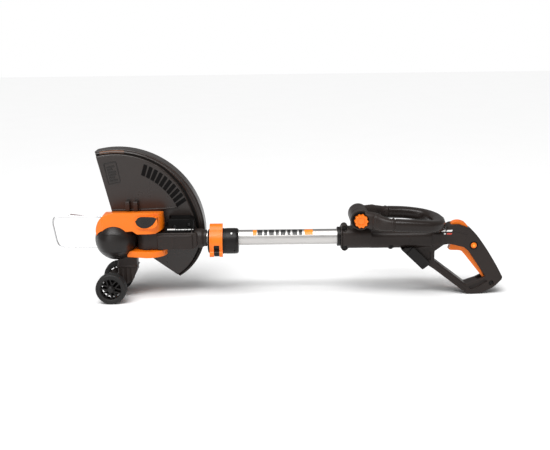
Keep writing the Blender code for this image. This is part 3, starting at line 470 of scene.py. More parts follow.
def tube(points, wide, tall, sides, square=2):
    """A bar bent along the points. Its section is a superellipse, from round at square=2 to boxier."""
    path = [Vector(p) for p in points]
    power = 2 / square
    section = [(math.copysign(abs(a) ** power, a) * wide, math.copysign(abs(b) ** power, b) * tall)
               for a, b in disc(0, 0, 1, sides)]
    rings = []
    for before, point, after in zip(path[:1] + path, path, path[1:] + path[-1:]):
        along = (after - before).normalized()
        up = Vector((0, 0, 1)) if abs(along.z) < 0.8 else Vector((0, 1, 0))
        side = along.cross(up).normalized()
        up = side.cross(along)
        rings.append([point + side * a + up * b for a, b in section])
    return skinned(rings)


def about(centre, degrees):
    """The move that puts a shape drawn about Y on an axis along Y and turns it there."""
    return Matrix.Translation((centre[0], 0, centre[1])) @ Matrix.Rotation(math.radians(degrees), 4, "Y")


def slanted(x, z, width, tall, lean, low, high):
    """A bar that leans forwards, for a printed mark on a side face."""
    return slab([(x, z), (x + width, z), (x + width + lean, z + tall), (x + lean, z + tall)], low, high)


def half(side):
    """Everything on one side of the tool's middle plane: -1 is near, 1 is far."""
    low, high = (-200, -SPLIT) if side < 0 else (SPLIT, 200)
    return box((-500, low, -200), (500, high, 200))


def screw(name, body, x, z, head_y, length, head=3.6, shank=1.6):
    """A pan-head screw along Y with a cross recess in its head."""
    way = 1 if length > 0 else -1
    profile = [(0, head_y + 0.15 * way), (head * 0.55, head_y), (head * 0.86, head_y + 0.25 * way),
               (head, head_y + 0.9 * way), (head, head_y + 2.2 * way), (shank, head_y + 2.2 * way),
               (shank, head_y + length - way), (shank * 0.5, head_y + length), (0, head_y + length)]
    made = turned(profile, (x, z), "Y", 32)
    low, high = sorted((head_y - way, head_y + 1.3 * way))
    made.cut(box((x - head * 0.62, low, z - 0.45), (x + head * 0.62, high, z + 0.45)),
             box((x - 0.45, low, z - head * 0.62), (x + 0.45, high, z + head * 0.62)))
    emit(made, name + "_detail", DARK_STEEL, body, name)


# Camera, light and floor

def place_lamp(data, spot, towards):
    lamp = bpy.data.objects.new(data.name, data)
    bpy.context.scene.collection.objects.link(lamp)
    lamp.location = spot
    lamp.rotation_euler = (Vector(spot) - Vector(towards)).to_track_quat("Z", "Y").to_euler()


def make_stage():
    tilt, roll = math.radians(CAMERA_TILT), math.radians(CAMERA_ROLL)
    forward = Vector((0, math.cos(tilt), -math.sin(tilt)))
    up = Vector((0, math.sin(tilt), math.cos(tilt)))
    right = Vector((1, 0, 0))
    across = math.cos(roll) * right + math.sin(roll) * up
    upward = math.cos(roll) * up - math.sin(roll) * right
    data = bpy.data.cameras.new("camera")
    data.lens = CAMERA_LENS
    data.sensor_width = 36
    camera = bpy.data.objects.new("camera", data)
    bpy.context.scene.collection.objects.link(camera)
    turn = Matrix((across, upward, -forward)).transposed().to_4x4()
    camera.matrix_world = Matrix.Translation(Vector((0, 0, CAMERA_AIM)) - forward * CAMERA_DISTANCE) @ turn
    bpy.context.scene.camera = camera

    bm = bmesh.new()
    corners = [bm.verts.new((x, y, 0)) for x, y in ((-6, -6), (6, -6), (6, 6), (-6, 6))]
    bm.faces.new(corners)
    floor = Solid(bm).object
    floor.name = "floor"
    paper, tree, shader = node_group("paper_floor")
    tone = blend_colour(tree, noise(tree, 6, 3), (0.90, 0.90, 0.90), (0.92, 0.92, 0.92))
    tree.links.new(tone, shader.inputs["Base Color"])
    shader.inputs["Roughness"].default_value = 0.9
    shader.inputs["Specular IOR Level"].default_value = 0.1
    floor.data.materials.append(paper)

    world = bpy.data.worlds.new("studio")
    world.use_nodes = True
    sky = world.node_tree.nodes["Background"]
    sky.inputs["Color"].default_value = (1, 1, 1, 1)
    seen = world.node_tree.nodes.new("ShaderNodeLightPath").outputs["Is Camera Ray"]
    strength = ramp(world.node_tree, seen, FILL_LIGHT, 1, 0, 1)
    world.node_tree.links.new(strength, sky.inputs["Strength"])
    bpy.context.scene.world = world
    bpy.context.scene.view_settings.view_transform = "Standard"

    sun = bpy.data.lights.new("sun", "SUN")
    sun.angle = math.radians(SUN_SPREAD)
    sun.energy = SUN_LIGHT
    place_lamp(sun, (-0.25, -0.42, 1), (0, 0, 0))
    for name, spot, size, power in (("strip", (0, -0.75, 1.25), (2.2, 0.22), 9),
                                    ("front", (-0.9, -1.7, 0.55), (0.7, 0.7), 5)):
        light = bpy.data.lights.new(name, "AREA")
        light.shape = "RECTANGLE"
        light.size, light.size_y = size
        light.energy = power
        place_lamp(light, spot, (0, 0, 0.1))


# Rear housing and its controls

def grip_outline():
    back = curve([(326, 22), (349, 11), (370, -15), (392, -50), (HALF_LENGTH, -75)], 8)
    heel = curve([(404, -80), (390, -93.5), (370, -103), (354, -SHAFT_HEIGHT)], 8)
    strut = [(343, -SHAFT_HEIGHT), (282, -58.5), (271, -51.5), (271, -45.5), (240, -18.5)]
    top = [(240, 9.5), (300, 9.5), (304.5, 18), (311, 21.5)]
    return top + back + heel + strut


HAND_LOOP = [(283, -26), (299, -14.5), (309, -13), (334, -19), (343, -26),
             (375, -74), (362, -81), (341, -88), (283, -43)]


def groove_along(points, y, depth=0.6, width=0.5):
    """A thin closed strip that follows points on the side face at y, for cutting a panel line."""
    low, high = (y - 3, y + depth) if y < 0 else (y - depth, y + 3)
    strips = []
    for (a, b), (c, d) in zip(points, points[1:]):
        along = Vector((c - a, d - b)).normalized()
        side = Vector((-along.y, along.x)) * width
        reach = along * width * 0.6
        start, end = Vector((a, b)) - reach, Vector((c, d)) + reach
        strips.append(slab([start + side, start - side, end - side, end + side], low, high))
    return strips


def make_housing():
    shell = slab(grip_outline(), -15.5, 15.5, "Y", [HAND_LOOP]).rounded(5, 4)
    shoulder = rounded_box(-20.5, -19.5, 20.5, 17, 12)
    deck = rounded_box(-20, -19.3, 20, 10, 9)
    shell.add(slab(shoulder, 120, 170, "X").rounded(2), slab(deck, 169, 277, "X").rounded(2))
    shell.add(slab(shoulder, 116, 118.6, "X"))
    shell.add(slab(rounded_box(-18.6, -17.7, 18.6, 15.2, 11), 117, 122, "X"))
    shell.add(rod(AUX, 18, -13.7, 13.7), box((135, -13, 10), (165, 13, 33.5)))
    for x, z, radius, _ in HOUSING_SCREWS:
        shell.add(rod((x, z), radius, -12, 12))
    blend = [(266, -16), (300, -16), (300, 9), (266, 9)]
    shell.add(slab(blend, -17.6, 17.6).rounded(5, 4))
    shell.moulded(0.75, 5)
    hollow = [(167, -16), (167, 6.5), (301, 6.5), (308, 17), (325, 18), (343, 9),
              (366, -18), (386, -54), (380, -60), (345, -13), (330, -9),
              (300, -10), (282, -16)]
    shell.cut(slab(hollow, -11.5, 11.5))
    shell.cut(rod((0, 0), 13.8, 111, 168, "X"))
    slot = [(303, -30), (308, -8), (318, -4), (332, -8), (352, -19),
            (388, -67), (380, -80), (362, -82), (330, -45)]
    shell.cut(slab(slot, -7.4, 7.4))
    shell.cut(rod(TRIGGER, 2.9, -10.4, 10.4, "Y", 24))
    shell.cut(box((311.6, -8.4, 8), (342.4, 8.4, 40)))
    shell.cut(rod(FEED, 5.6, -30, -5))
    shell.cut(rod(AUX, 4.3, -40, 40))
    for x, z, _, head in HOUSING_SCREWS:
        shell.cut(rod((x, z), 3.9, -40, head + 2.5), rod((x, z), 1.9, head, 10, "Y", 24))
        mouth = [(0, -40), (4.7, -40), (4.7, head + 0.4), (3.8, head + 1), (0, head + 1)]
        shell.cut(turned(mouth, (x, z), "Y", 32))
    seam = [(239, 9), (239, -3), (236, -9), (236, -18.5)]
    shell.cut(*groove_along(seam, -20, 0.5, 0.35))
    pocket = [(262, -22.5), (270, -21.5), (276.5, -27), (276.5, -41.5), (271.5, -41.5)]
    shell.cut(slab(pocket, -20, -13.2))
    shell.cut(*groove_along([(300, 5.5), (318, 9.5), (340, 4)], -15.5, 0.5, 0.3))
    for offset in (-4.2, 4.2):
        strut = [(287, -51.5 + offset * 0.75), (340, -95 + offset * 0.75)]
        shell.cut(*groove_along(strut, -15.5, 0.8, 0.7))
    ledge = [(344, -92.5), (361, -85.5), (373, -79), (379, -82), (362, -93), (349, -97.5)]
    shell.cut(slab(ledge, -20, -13).rounded(0.6, 2))
    emit_halves(shell, "housing_%s_shell", CHARCOAL, "rear_body", "housing_%s")
    for index, (x, z, _, head) in enumerate(HOUSING_SCREWS):
        screw("housing_screw_%d" % (index + 1), "rear_body", x, z, head, 21)
    bars = [slanted(x, z, width, tall, 1.2, -15.72, -15.3)
            for x, z, width, tall in ((293.5, 9.6, 7, 3.2), (302.5, 9.6, 10, 3.2), (293, 4.4, 8, 2.6))]
    emit(bars[0].add(*bars[1:]), "housing_mark_white", INK_WHITE, "rear_body")
    red = slanted(303, 4.4, 9, 2.6, 1, -15.72, -15.3)
    emit(red, "housing_mark_red", INK_RED, "rear_body")


def make_controls():
    front = curve([(309, -24.5), (313, -26), (329, -27), (335.5, -32), (352, -52.6),
                   (370.5, -76)], 6)
    back = curve([(375, -76.5), (361, -52), (345, -25), (336, -17)], 5)
    hinge = arc(*TRIGGER, 4.5, 20, 190, 12)
    trigger = slab(front + back + hinge, -7, 7).rounded(2, 4)
    trigger.join(rod(TRIGGER, 2.6, -9.8, 9.8))
    emit(trigger, "trigger_lever", ORANGE, "trigger", "trigger")
    saddle = curve([(312, 18.5), (316, 24.5), (326, 26.5), (337, 23), (342, 16)], 8)
    saddle = slab(saddle + [(338, 12.5), (316, 12.5)], -8, 8).rounded(2.2, 4)
    for x in (319, 322.5, 326, 329.5):
        z = 26.6 - 0.02 * (x - 324) ** 2
        saddle.cut(rod((x, z), 0.7, -5.6, 5.6, "Y", 16))
    emit(saddle, "lock_off_saddle", ORANGE, "lock_off_button", "lock_off_button")
    feed = [(0, -17), (2.2, -17), (2.4, -17.5), (3.7, -17.4), (4.9, -16.7), (5.3, -15.6),
            (5.3, -9), (0, -9)]
    emit(turned(feed, FEED, "Y"), "feed_button_cap", ORANGE, "feed_button", "feed_button")
    centre = [(0, -17.35), (1.5, -17.3), (2.1, -17), (2.1, -16.8), (0, -16.8)]
    emit(turned(centre, FEED, "Y"), "feed_button_centre", AMBER, "feed_button")
    ring = [(5.75, -15), (5.75, -16.1), (6.2, -16.4), (6.9, -16.1), (7.2, -15.4), (7.2, -15)]
    emit(turned(ring, FEED, "Y"), "feed_button_ring", RIB_AND_SHADE, "rear_body")


def dock_point(along, out):
    """A point on the battery dock: from its upper front corner along its face, and out of it."""
    (top_x, top_z), (end_x, end_z) = DOCK_TOP, DOCK_END
    slope = math.atan2(end_z - top_z, end_x - top_x)
    return (top_x + along * math.cos(slope) + out * math.sin(slope),
            top_z + along * math.sin(slope) - out * math.cos(slope))


def dock_patch(start, end, *outs):
    """A four-sided patch of the dock's side: along its face from start to end, and outs at the corners."""
    first, second, third, fourth = outs if len(outs) == 4 else (outs[0], outs[0], outs[1], outs[1])
    return [dock_point(start, first), dock_point(end, second),
            dock_point(end, third), dock_point(start, fourth)]


def make_battery_dock():
    outline = [DOCK_TOP, DOCK_END, (270.6, -49.8), (270.6, -45.9), (239.2, -19.9)]
    dock = slab(outline, -25, 25).rounded(1.6, 3)
    cheek = [(224, -20.6), (260.3, -55.6), (273.4, -46.2), (273.8, -43.6), (246, -16.8), (229, -16.8)]
    for low, high in ((-25, -20.6), (20.6, 25)):
        dock.join(slab(cheek, low + 0.01, high - 0.01).rounded(1.3, 3))
    for low, high in ((-30, -22.5), (22.5, 30)):
        dock.cut(slab(dock_patch(9, 13, 2, -30), low, high))
    for low, high in ((-30, -24.5), (24.5, 30)):
        dock.cut(slab(dock_patch(16.5, 49.5, -2.5, -2.5, -12.5, -16), low, high))
    for low, high in ((-20, -15), (15, 20)):
        dock.cut(slab(dock_patch(16, 60, 3, -4), low, high))
    dock.cut(slab(dock_patch(20, 34, 3, -6), -10, 10))
    for along in (40, 43, 46):
        dock.cut(slab(dock_patch(along, along + 1.2, 3, -0.8), -9, 9))
    emit(dock, "battery_dock_block", DARK, "rear_body", "battery_dock")
    holder = slab(dock_patch(20.3, 33.7, -4, -5.7), -9.7, 9.7).rounded(0.3, 2)
    blades = [slab(dock_patch(22, 32, -0.3, -5), y - 0.6, y + 0.6).rounded(0.2, 2) for y in (-6, 0, 6)]
    emit(holder, "terminal_holder", DARK, "rear_body")
    emit(blades[0].add(*blades[1:]), "dock_terminal_blades", BRASS, "rear_body", "dock_terminals")


# Auxiliary handle

AUX_SIDE = [(AUX[0] + 2, 22, AUX[1]), (172, 34, 35), (188, 49, 33), (210, 54.5, 31.5),
            (240, 55, 30), (268, 49, 27), (285, 30, 24.5), (290, 0, 24)]


def make_aux_handle():
    line = curve(AUX_SIDE, 8)
    path = line[:-1] + [(x, -y, z) for x, y, z in reversed(line)]
    handle = tube(path, 10.6, 9.6, 40, 2.8)
    for vertex in handle.object.data.vertices:      # the arms deepen towards the hinge
        share = (204 - vertex.co.x) / 32
        if share > 0:
            middle = 31.9 + 3 * min(share, 1.2)
            vertex.co.z = middle + (vertex.co.z - middle) * (1 + 0.52 * min(share, 1))
    for low, high in ((-31, -14), (14, 31)):
        handle.add(rod(AUX, 18, low, high).rounded(1.5))
    for side in (-1, 1):
        for x, y, z, lean, tall in ((178, 40.5, 34.3, 42, 14.4), (203.5, 53.4, 31.9, 12, 11.4)):
            collar = tube([(-1.6, 0, 0), (1.6, 0, 0)], 12, tall, 48, 2.8)
            spin = Matrix.Rotation(math.radians(lean) * side, 4, "Z")
            collar.moved(Matrix.Translation((x, y * side, z)) @ spin)
            handle.add(collar)
    handle.moulded(0.8, 4)
    handle.cut(box((131, -14, 5.5), (169, 14, 65.5)))
    handle.cut(rod(AUX, 13.6, -60, -31), rod(AUX, 7.2, 25, 60, "Y", 6), rod(AUX, 4.3, -60, 60))
    emit(handle, "aux_handle_loop", CHARCOAL, "aux_handle", "aux_handle")
    grip = [(x, y, z) for x, y, z in path if x > 204.5]
    sleeve = tube(grip, 12, 10.8, 48, 2.8).rounded(1.2, 3, 60)
    emit(sleeve, "aux_handle_grip", GRIP, "aux_handle")
    rim = []
    for i in range(120):
        t = 2 * math.pi * i / 120
        r = 11.1 + 0.9 * math.cos(2 * math.pi * 10 * i / 120)
        rim.append((AUX[0] + r * math.cos(t), AUX[1] + r * math.sin(t)))
    knob = slab(rim, -42, -31.3).rounded(0.9, 3, 60)
    knob.cut(turned([(0, -45), (7.6, -45), (7, -41.2), (0, -41)], AUX, "Y"))
    knob.cut(rod(AUX, 4.3, -38, -30))
    knob.add(turned([(0, -41.9), (5.2, -41.8), (5.8, -41.2), (5.8, -40.8), (0, -40.8)], AUX, "Y"))
    emit(knob, "aux_knob_cap", ORANGE, "aux_knob", "aux_knob")
    ring = [(12.4, -31.05), (12.4, -32.6), (12.9, -33.1), (14.6, -33.1), (15.3, -32.5), (15.5, -31.05)]
    emit(turned(ring, AUX, "Y"), "aux_knob_ring", RIB_AND_SHADE, "aux_handle")
    nut = rod(AUX, 6.9, 25.3, 30.8, "Y", 6).rounded(0.4, 2).cut(rod(AUX, 4.3, 20, 40))
    emit(nut, "aux_nut_hex", STEEL, "aux_handle", "aux_nut")
    bolt = [(0, -37.7), (3.6, -37.7), (4, -37.3), (4, 29.8), (3.4, 30.5), (0, 30.5)]
    emit(turned(bolt, AUX, "Y", 32), "aux_bolt_shank", STEEL, "aux_knob", "aux_bolt")


# Telescoping shaft and its clamp

def pipe(outer, bore, front, rear, edge=0.3):
    return turned([(bore, front + edge), (bore + edge, front), (outer - edge, front), (outer, front + edge),
                   (outer, rear - edge), (outer - edge, rear), (bore + edge, rear), (bore, rear - edge)],
                  axis="X", count=96)


def tube_print(low, high):
    """A thin printed patch on the upper tube's near upper side."""
    outline = arc(0, 0, PRINT_TOP, 98, 152, 24) + arc(0, 0, PRINT_BASE, 152, 98, 24)
    return slab(outline, low, high, "X")


def make_shaft():
    emit(pipe(TUBE_OUTER, 12.1, -118, 164), "upper_tube_drawn", ALUMINIUM, "rear_body", "upper_tube")
    collar = pipe(17.2, 13.8, 110, 115.7, 0.6)
    emit(collar, "tube_collar_ring", DARK, "rear_body", "tube_collar")
    emit(pipe(11.7, 10.5, -163, 75), "inner_tube_drawn", ALUMINIUM, "lower_shaft", "inner_tube")
    emit(tube_print(-39.5, -32.5), "tube_band_front", INK_ORANGE, "rear_body")
    emit(tube_print(52, 67), "tube_band_rear", INK_ORANGE, "rear_body")
    bars = []
    x = -31.5
    for width in (9, 6) * 4:
        bars.append(tube_print(x, x + width))
        x += width + 2.8
    emit(bars[0].add(*bars[1:]), "tube_band_bars", INK_BLACK, "rear_body")


def make_clamp():
    profile = [(0, -65), (19.4, -65), (21.4, -65.8), (22.5, -67.6), (23, -70), (23, -113),
               (22.6, -115.6), (21.6, -118), (19.6, -119.5), (17, -120), (0, -120)]
    body = turned(profile, CLAMP, "X", 96)
    for x in (-91, -88.4):
        body.cut(turned([(22.3, x), (24, x - 0.4), (24, x + 1.4), (22.3, x + 1)], CLAMP, "X", 96))
    body.cut(turned([(22.5, -70.8), (24, -71.1), (24, -69.6), (22.5, -70)], CLAMP, "X", 96))
    for x, angle, radius in ((-77.5, 128, 1.7), (-72.5, 216, 1.4), (-76, 142, 0.9)):
        dimple = rod((0, 0), radius, 21.6, 26, "Z", 24)
        spin = Matrix.Rotation(math.radians(angle - 90), 4, "X")
        body.cut(dimple.moved(Matrix.Translation((x, *CLAMP)) @ spin))
    lug = rod(CLAMP_PIN, 5, -107.9, -99.1, "X")
    lug.join(slab([(-23.9, -20.6), (-17.1, -27.4), (-11, -19.5), (-17, -14)], -107.9, -99.1, "X"))
    body.cut(rod((0, 0), 13.8, -118.3, -60, "X"), rod((0, 0), 12, -130, -110, "X"))
    body.join(lug).cut(rod(CLAMP_PIN, 1.8, -130, -80, "X", 24))
    for low, high in ((-116.3, -108.1), (-98.9, -92.7)):
        body.cut(rod(CLAMP_PIN, 6.6, low, high, "X"))
    emit(body, "clamp_body_sleeve", DARK, "rear_body", "clamp_body")
    window = arc(*CLAMP, 23.06, 136, 127, 4) + arc(*CLAMP, 22.9, 127, 136, 4)
    emit(slab(window, -78.6, -75.8, "X"), "clamp_mark", INK_WHITE, "rear_body")
    band = arc(*CLAMP, 23.7, 82, 207, 40) + arc(*CLAMP, 27, 212, 122, 30)
    band += curve([(-12, 19.6), (-9, 22.4), (-5, 24.8), (0, 25.4), (4.5, 24.8), (5.6, 21)], 4)
    lever = slab(band, -116, -93, "X").rounded(1.1, 3)
    lever.join(rod(CLAMP_PIN, 6, -116, -93, "X").rounded(0.8, 2))
    for x in (-113.4, -96.6):
        ditch = arc(*CLAMP, 26.6, 122, 200, 30) + arc(*CLAMP, 30, 200, 122, 30)
        lever.cut(slab(ditch, x, x + 0.9, "X"))
    lever.cut(box((-108.4, -40, -40), (-98.6, 10, -8)))
    lever.cut(rod(CLAMP_PIN, 1.8, -130, -80, "X", 24))
    emit(lever, "clamp_lever_band", ORANGE, "clamp_lever", "clamp_lever")
    emit(turned([(0, -115.5), (1.2, -115.5), (1.5, -115.2), (1.5, -93.8), (1.2, -93.5), (0, -93.5)],
                CLAMP_PIN, "X", 24), "clamp_pin_rod", STEEL, "rear_body", "clamp_pin")


# Neck

def make_neck():
    floor, roof = -16.7, 14.2
    profile = [(0, floor), (18.7, floor), (19.5, floor + 0.8), (19.5, roof - 0.8), (18.7, roof), (0, roof)]
    neck = turned(profile, (TILT_X, 0), "Z")
    arm = slab([(TILT_X, floor + 0.5), (-145, floor + 0.5), (-138, -12), (-138, 12),
                (-145, 13.8), (TILT_X, 13.8)], -19.2, 19.1).rounded(3, 3)
    cheek = slab([(-208, floor + 1.2), (-146, floor + 1.2), (-146, 10), (-208, 10)], -22, -10)
    block = slab([(-194.5, 5), (-144, 5), (-144, 33), (-150, 38), (-194.5, 38)], -16, 20.3)
    block.rounded(1.8, 3).cut(rod((TILT_X, 0), 41.5, 25, 50, "Z"))
    neck.add(arm, cheek.rounded(1.2, 2))
    nose = [(0, -150), (17, -150), (17, -131), (16.4, -129), (15, -126.5), (15, -122),
            (14.5, -121.5), (0, -121.5)]
    neck.add(turned(nose, axis="X"))
    neck.add(box((-180.4, -22.6, -14), (-178.6, -20, 9)))
    neck.add(box((-208, -22.5, 6.5), (-150, -18, 8.6)))
    for x, low, high in ((-152, -17.8, 12), (-148, -17.8, 20)):
        neck.add(box((x, low, -10), (x + 2, -15, high)))
    neck.moulded(0.55, 3)
    neck.cut(rod((0, 0), 12, -163.3, -100, "X"))
    neck.cut(rod((0, 0), 4, -210, -161, "X", 24))
    neck.cut(rod((TILT_X, 0), 5.3, -40, 40, "Z"))
    block.cut(box((-160, -19, 12.6), (-155, -13, 16)),
              box((-152.4, -19, 14.6), (-147, -13.6, 24.4)))
    for x, z in NECK_SCREWS:
        for shape in (neck, block):
            shape.cut(rod((x, z), 3.9, -40, -11.3), rod((x, z), 1.9, -14, 12, "Y", 24))
    emit_halves(neck, "neck_%s_shell", CHARCOAL, "neck", "neck_%s")
    emit_halves(block, "neck_%s_block", RIB_AND_SHADE, "neck")
    for index, (x, z) in enumerate(NECK_SCREWS):
        screw("neck_screw_%d" % (index + 1), "neck", x, z, -13.8, 24)
    bars = []
    x = -190.5
    for width, tall in ((14, 2.2), (3, 1.5), (4.6, 1.5), (6.4, 1.5), (3, 1.5), (6, 1.5), (3.6, 1.5)):
        bars.append(slanted(x, 18.6, width, tall, 0.6, -16.15, -15.8))
        x += width + 0.9
    emit(bars[0].add(*bars[1:]), "neck_mark", INK_WHITE, "neck")


# Cutting head

DOME = ((37, 6), (37, -3), (36.6, -7.5), (35.6, -12), (33.9, -17.2), (31.5, -22.5),
        (28.8, -28), (25.6, -33), (21.6, -37.2), (17, -40.3), (11.5, -41.7), (5.5, -42.4), (0, -42.5))


def motor_clearance():
    profile = [(0, 30), (37.6, 30), (37.6, 5.6), (37.6, -3.4), (36.2, -12.4), (32.1, -22.9),
               (26.2, -33.4), (17.6, -40.7), (0, -43.2)]
    return turned(profile, SPOOL, "Y")


def almond(inset):
    """The tilt button's outline: round at the left and drawn to a point at the upper right."""
    lower = curve([(-243.2, 38.6), (-240, 31.6), (-232, 27), (-222, 27.4), (-212.6, 33.4),
                   (-205.4, 44.6)], 8)
    upper = curve([(-205.4, 44.6), (-212, 45.6), (-224, 46.2), (-236, 45.6), (-243.2, 38.6)], 8)
    centre = Vector((-224.5, 37))
    points = []
    for point in lower[:-1] + upper[:-1]:
        away = Vector(point) - centre
        points.append(tuple(centre + away * (1 - inset / away.length)))
    return points


def make_yoke():
    crown = curve([(-312.5, 4), (-316, 20), (-311, 36), (-300, 48), (-284, 53)], 8)
    crown += [(-209, 52.8), (-204.4, 51.8), (-200.8, 49.6), (-198.4, 46), (-196, 24), (-199.5, 19)]
    crown += [(-210, 14.5), (-242, 14.5), (-250, 20), (-283, 18)]
    plan = arc(TILT_X, 0, 29.5, -90, 55, 36)
    plan += [(-214, 24), (-300, 24), (-318, 14), (-318, -18), (-302, -30)]
    upper = slab(crown, -34, 30).rounded(4, 4).keep(slab(plan, 0, 70, "Z"))
    upper.cut(slab([(-27.5, 60), (31, 60), (31, 43.8), (-27.5, 53)], -330, -180, "X"))
    lower_plan = arc(TILT_X, 0, 33, -90, 40, 36) + [(-210, 24), (-262, 24), (-262, -22)]
    lower = slab(lower_plan, -28, -17, "Z").rounded(2.2, 3)
    back = box((-262, 20.8, -26), (-200, 24, 30))
    yoke = upper.add(lower, back).moulded(0.7, 4)
    yoke.cut(motor_clearance(), rod((TILT_X, 0), 5.3, -40, 25, "Z"))
    yoke.cut(slab(rounded_box(-244.3, 25.7, -204.7, 47.3, 10.7), -45, -13))
    yoke.cut(rod(YOKE_SCREW, 3.5, 18, 40), rod(YOKE_SCREW, 1.8, 4, 30, "Y", 24))
    far = yoke.twin()
    near = yoke.keep(box((-400, -100, 5), (-100, -SPLIT, 100)))
    emit(near, "yoke_near_shell", ORANGE, "head", "yoke_near")
    far.cut(box((-400, -100, 5), (-100, SPLIT, 100)))
    emit(far, "yoke_far_shell", ORANGE, "head", "yoke_far")
    screw("yoke_screw", "head", *YOKE_SCREW, 23.4, -18, 3.2, 1.5)
    frame_plate = slab(rounded_box(-244.2, 25.8, -204.8, 47.2, 10.6), -33, -20, "Y", [almond(-0.5)])
    emit(frame_plate.rounded(0.5, 2), "button_surround", ORANGE, "head")
    button = slab(almond(0), -34, -18).rounded(1.4, 3)
    dish = turned([(0, -90), (58, -90), (58, -44), (36, -35.2), (18, -32.9), (0, -32.6)],
                  (-224.5, 36.5), "Y")
    button.cut(dish)
    for x in (-230, -226.5, -223, -219.5):
        button.cut(box((x, -36, 31.5), (x + 0.8, -32.2, 42.5)))
    emit(button, "tilt_button_cap", GLOSS, "tilt_button", "tilt_button")
    pin = [(0, 24), (4.6, 24), (5, 23.6), (5, -28.3), (12, -28.3), (12, -31.8), (11.4, -33),
           (10.2, -33.5), (5, -33.5), (4.4, -32.4), (0, -32.4)]
    emit(turned(pin, (TILT_X, 0), "Z"), "pivot_pin_cap", DARK, "head", "pivot_pin")


def make_motor():
    inside = [(34.5, 6), (34.5, -3), (31.5, -16), (24, -30.5), (14, -38), (0, -39.6)]
    cover = turned(list(DOME[::-1]) + inside, SPOOL, "Y", 120)
    for radius, y in ((34.6, -15.6), (29.9, -26.6)):
        cover.cut(turned([(radius - 0.5, y - 0.3), (radius + 1.6, y - 1.3), (radius + 2, y + 0.3),
                          (radius - 0.3, y + 0.5)], SPOOL, "Y", 120))
    for z in (-15, 16):
        outside = [(60, -2), (60, -60)] + [(max(r - 0.5, 0.1), y + 0.4) for r, y in DOME[-2:0:-1]]
        line = box((SPOOL[0] - 50, -60, z - 0.25), (SPOOL[0] + 50, -3, z + 0.25))
        cover.cut(line.keep(turned(outside + [(36.5, -2)], SPOOL, "Y", 96)))
    emit(cover, "motor_cover_dome", GLOSS, "head", "motor_cover")
    marks = [box((x, -34, 17), (x + 1.5, -24, 22)).rounded(0.4, 2) for x in (-292, -288)]
    marks = marks[0].add(*marks[1:])
    raised = [(0, -43), (17.3, -40.8), (25.9, -33.4), (31.9, -22.8), (31.9, -5), (0, -5)]
    marks.keep(turned(raised, SPOOL, "Y"))
    emit(marks, "motor_cover_marks", RIB_AND_SHADE, "head")
    base = [(3.3, 20), (3.3, 24.7), (35.4, 24.7), (36.6, 24), (37, 22.8), (37, 6.3), (34, 6.3),
            (34, 20)]
    emit(turned(base, SPOOL, "Y", 96), "motor_base_ring", CHARCOAL, "head", "motor_base")


def make_spool():
    cup = [(2.8, 39), (29, 39), (33, 39.8), (37, 41.4), (39.2, 43.6), (40, 46), (40, 63),
           (37, 63), (37, 47), (35, 44.5), (2.8, 43)]
    cup = turned(cup, SPOOL, "Y", 96)
    for i in range(12):
        cup.cut(box((39, 48, -2.6), (42, 60, 2.6)).moved(about(SPOOL, -30 * i - 15)))
    cup.cut(rod(LINE_EXIT, 2.6, -321, -303, "X", 24))
    emit(cup, "spool_housing_cup", DARK, "spool", "spool_housing")
    cap = [(0, 63), (33, 63), (33, 63.3), (39.6, 63.3), (40, 63.7), (40, 65), (38.6, 66),
           (36, 66.6), (30, 66.6), (28.5, 65.8), (10, 65.8), (8, 66.6), (0, 66.6)]
    lid = turned(cap, SPOOL, "Y", 96)
    lid.cut(turned([(0, 60), (5, 60), (5, 64.5), (0, 64.5)], SPOOL, "Y", 32))
    for i in range(6):
        lid.cut(box((14, 65, -2.4), (25, 70, 2.4)).moved(about(SPOOL, -60 * i)))
        lid.cut(rod((41, 0), 3.4, 60, 70, "Y", 24).moved(about(SPOOL, 30 - 60 * i)))
    emit(lid, "spool_cap_lid", CHARCOAL, "spool", "spool_cap")
    eyelet = [(1.3, -315.8), (1.6, -316), (2, -315.9), (2.2, -315.5), (2.2, -309), (1.3, -309)]
    emit(turned(eyelet, LINE_EXIT, "X", 32), "line_eyelet_ring", STEEL, "spool", "line_eyelet")


ROUTE = ((-318, LINE_Y, 27.6), (-330, LINE_Y, 28.4), (-346, LINE_Y, 29.9), (-361, LINE_Y, 31.6),
         (-376, LINE_Y, 33.6))


def make_line():
    route = curve(ROUTE, 4)
    line = tube(route, LINE_RADIUS, LINE_RADIUS, 16)
    piece = emit(line, "cutting_line_free_end", NYLON, "spool", "cutting_line")


# Guard and spacer wire

def edge_radius(angle):
    """How far the guard reaches from the cutting axis in that direction, in degrees."""
    if angle > TAIL_TURN:
        return GUARD_RADIUS
    along = TAIL_OFFSET * math.cos(math.radians(angle - TAIL_TURN))
    return along + math.sqrt((GUARD_RADIUS - TAIL_OFFSET) ** 2 - TAIL_OFFSET ** 2 + along ** 2)


def rim_width(angle):
    """The width of the stepped rim between the guard's face and its edge."""
    for (start, first), (end, last) in zip(FACE_RIM, FACE_RIM[1:]):
        if angle >= end:
            share = (start - angle) / (start - end)
            share = share * share * (3 - 2 * share)
            return first + (last - first) * share
    return FACE_RIM[-1][1]


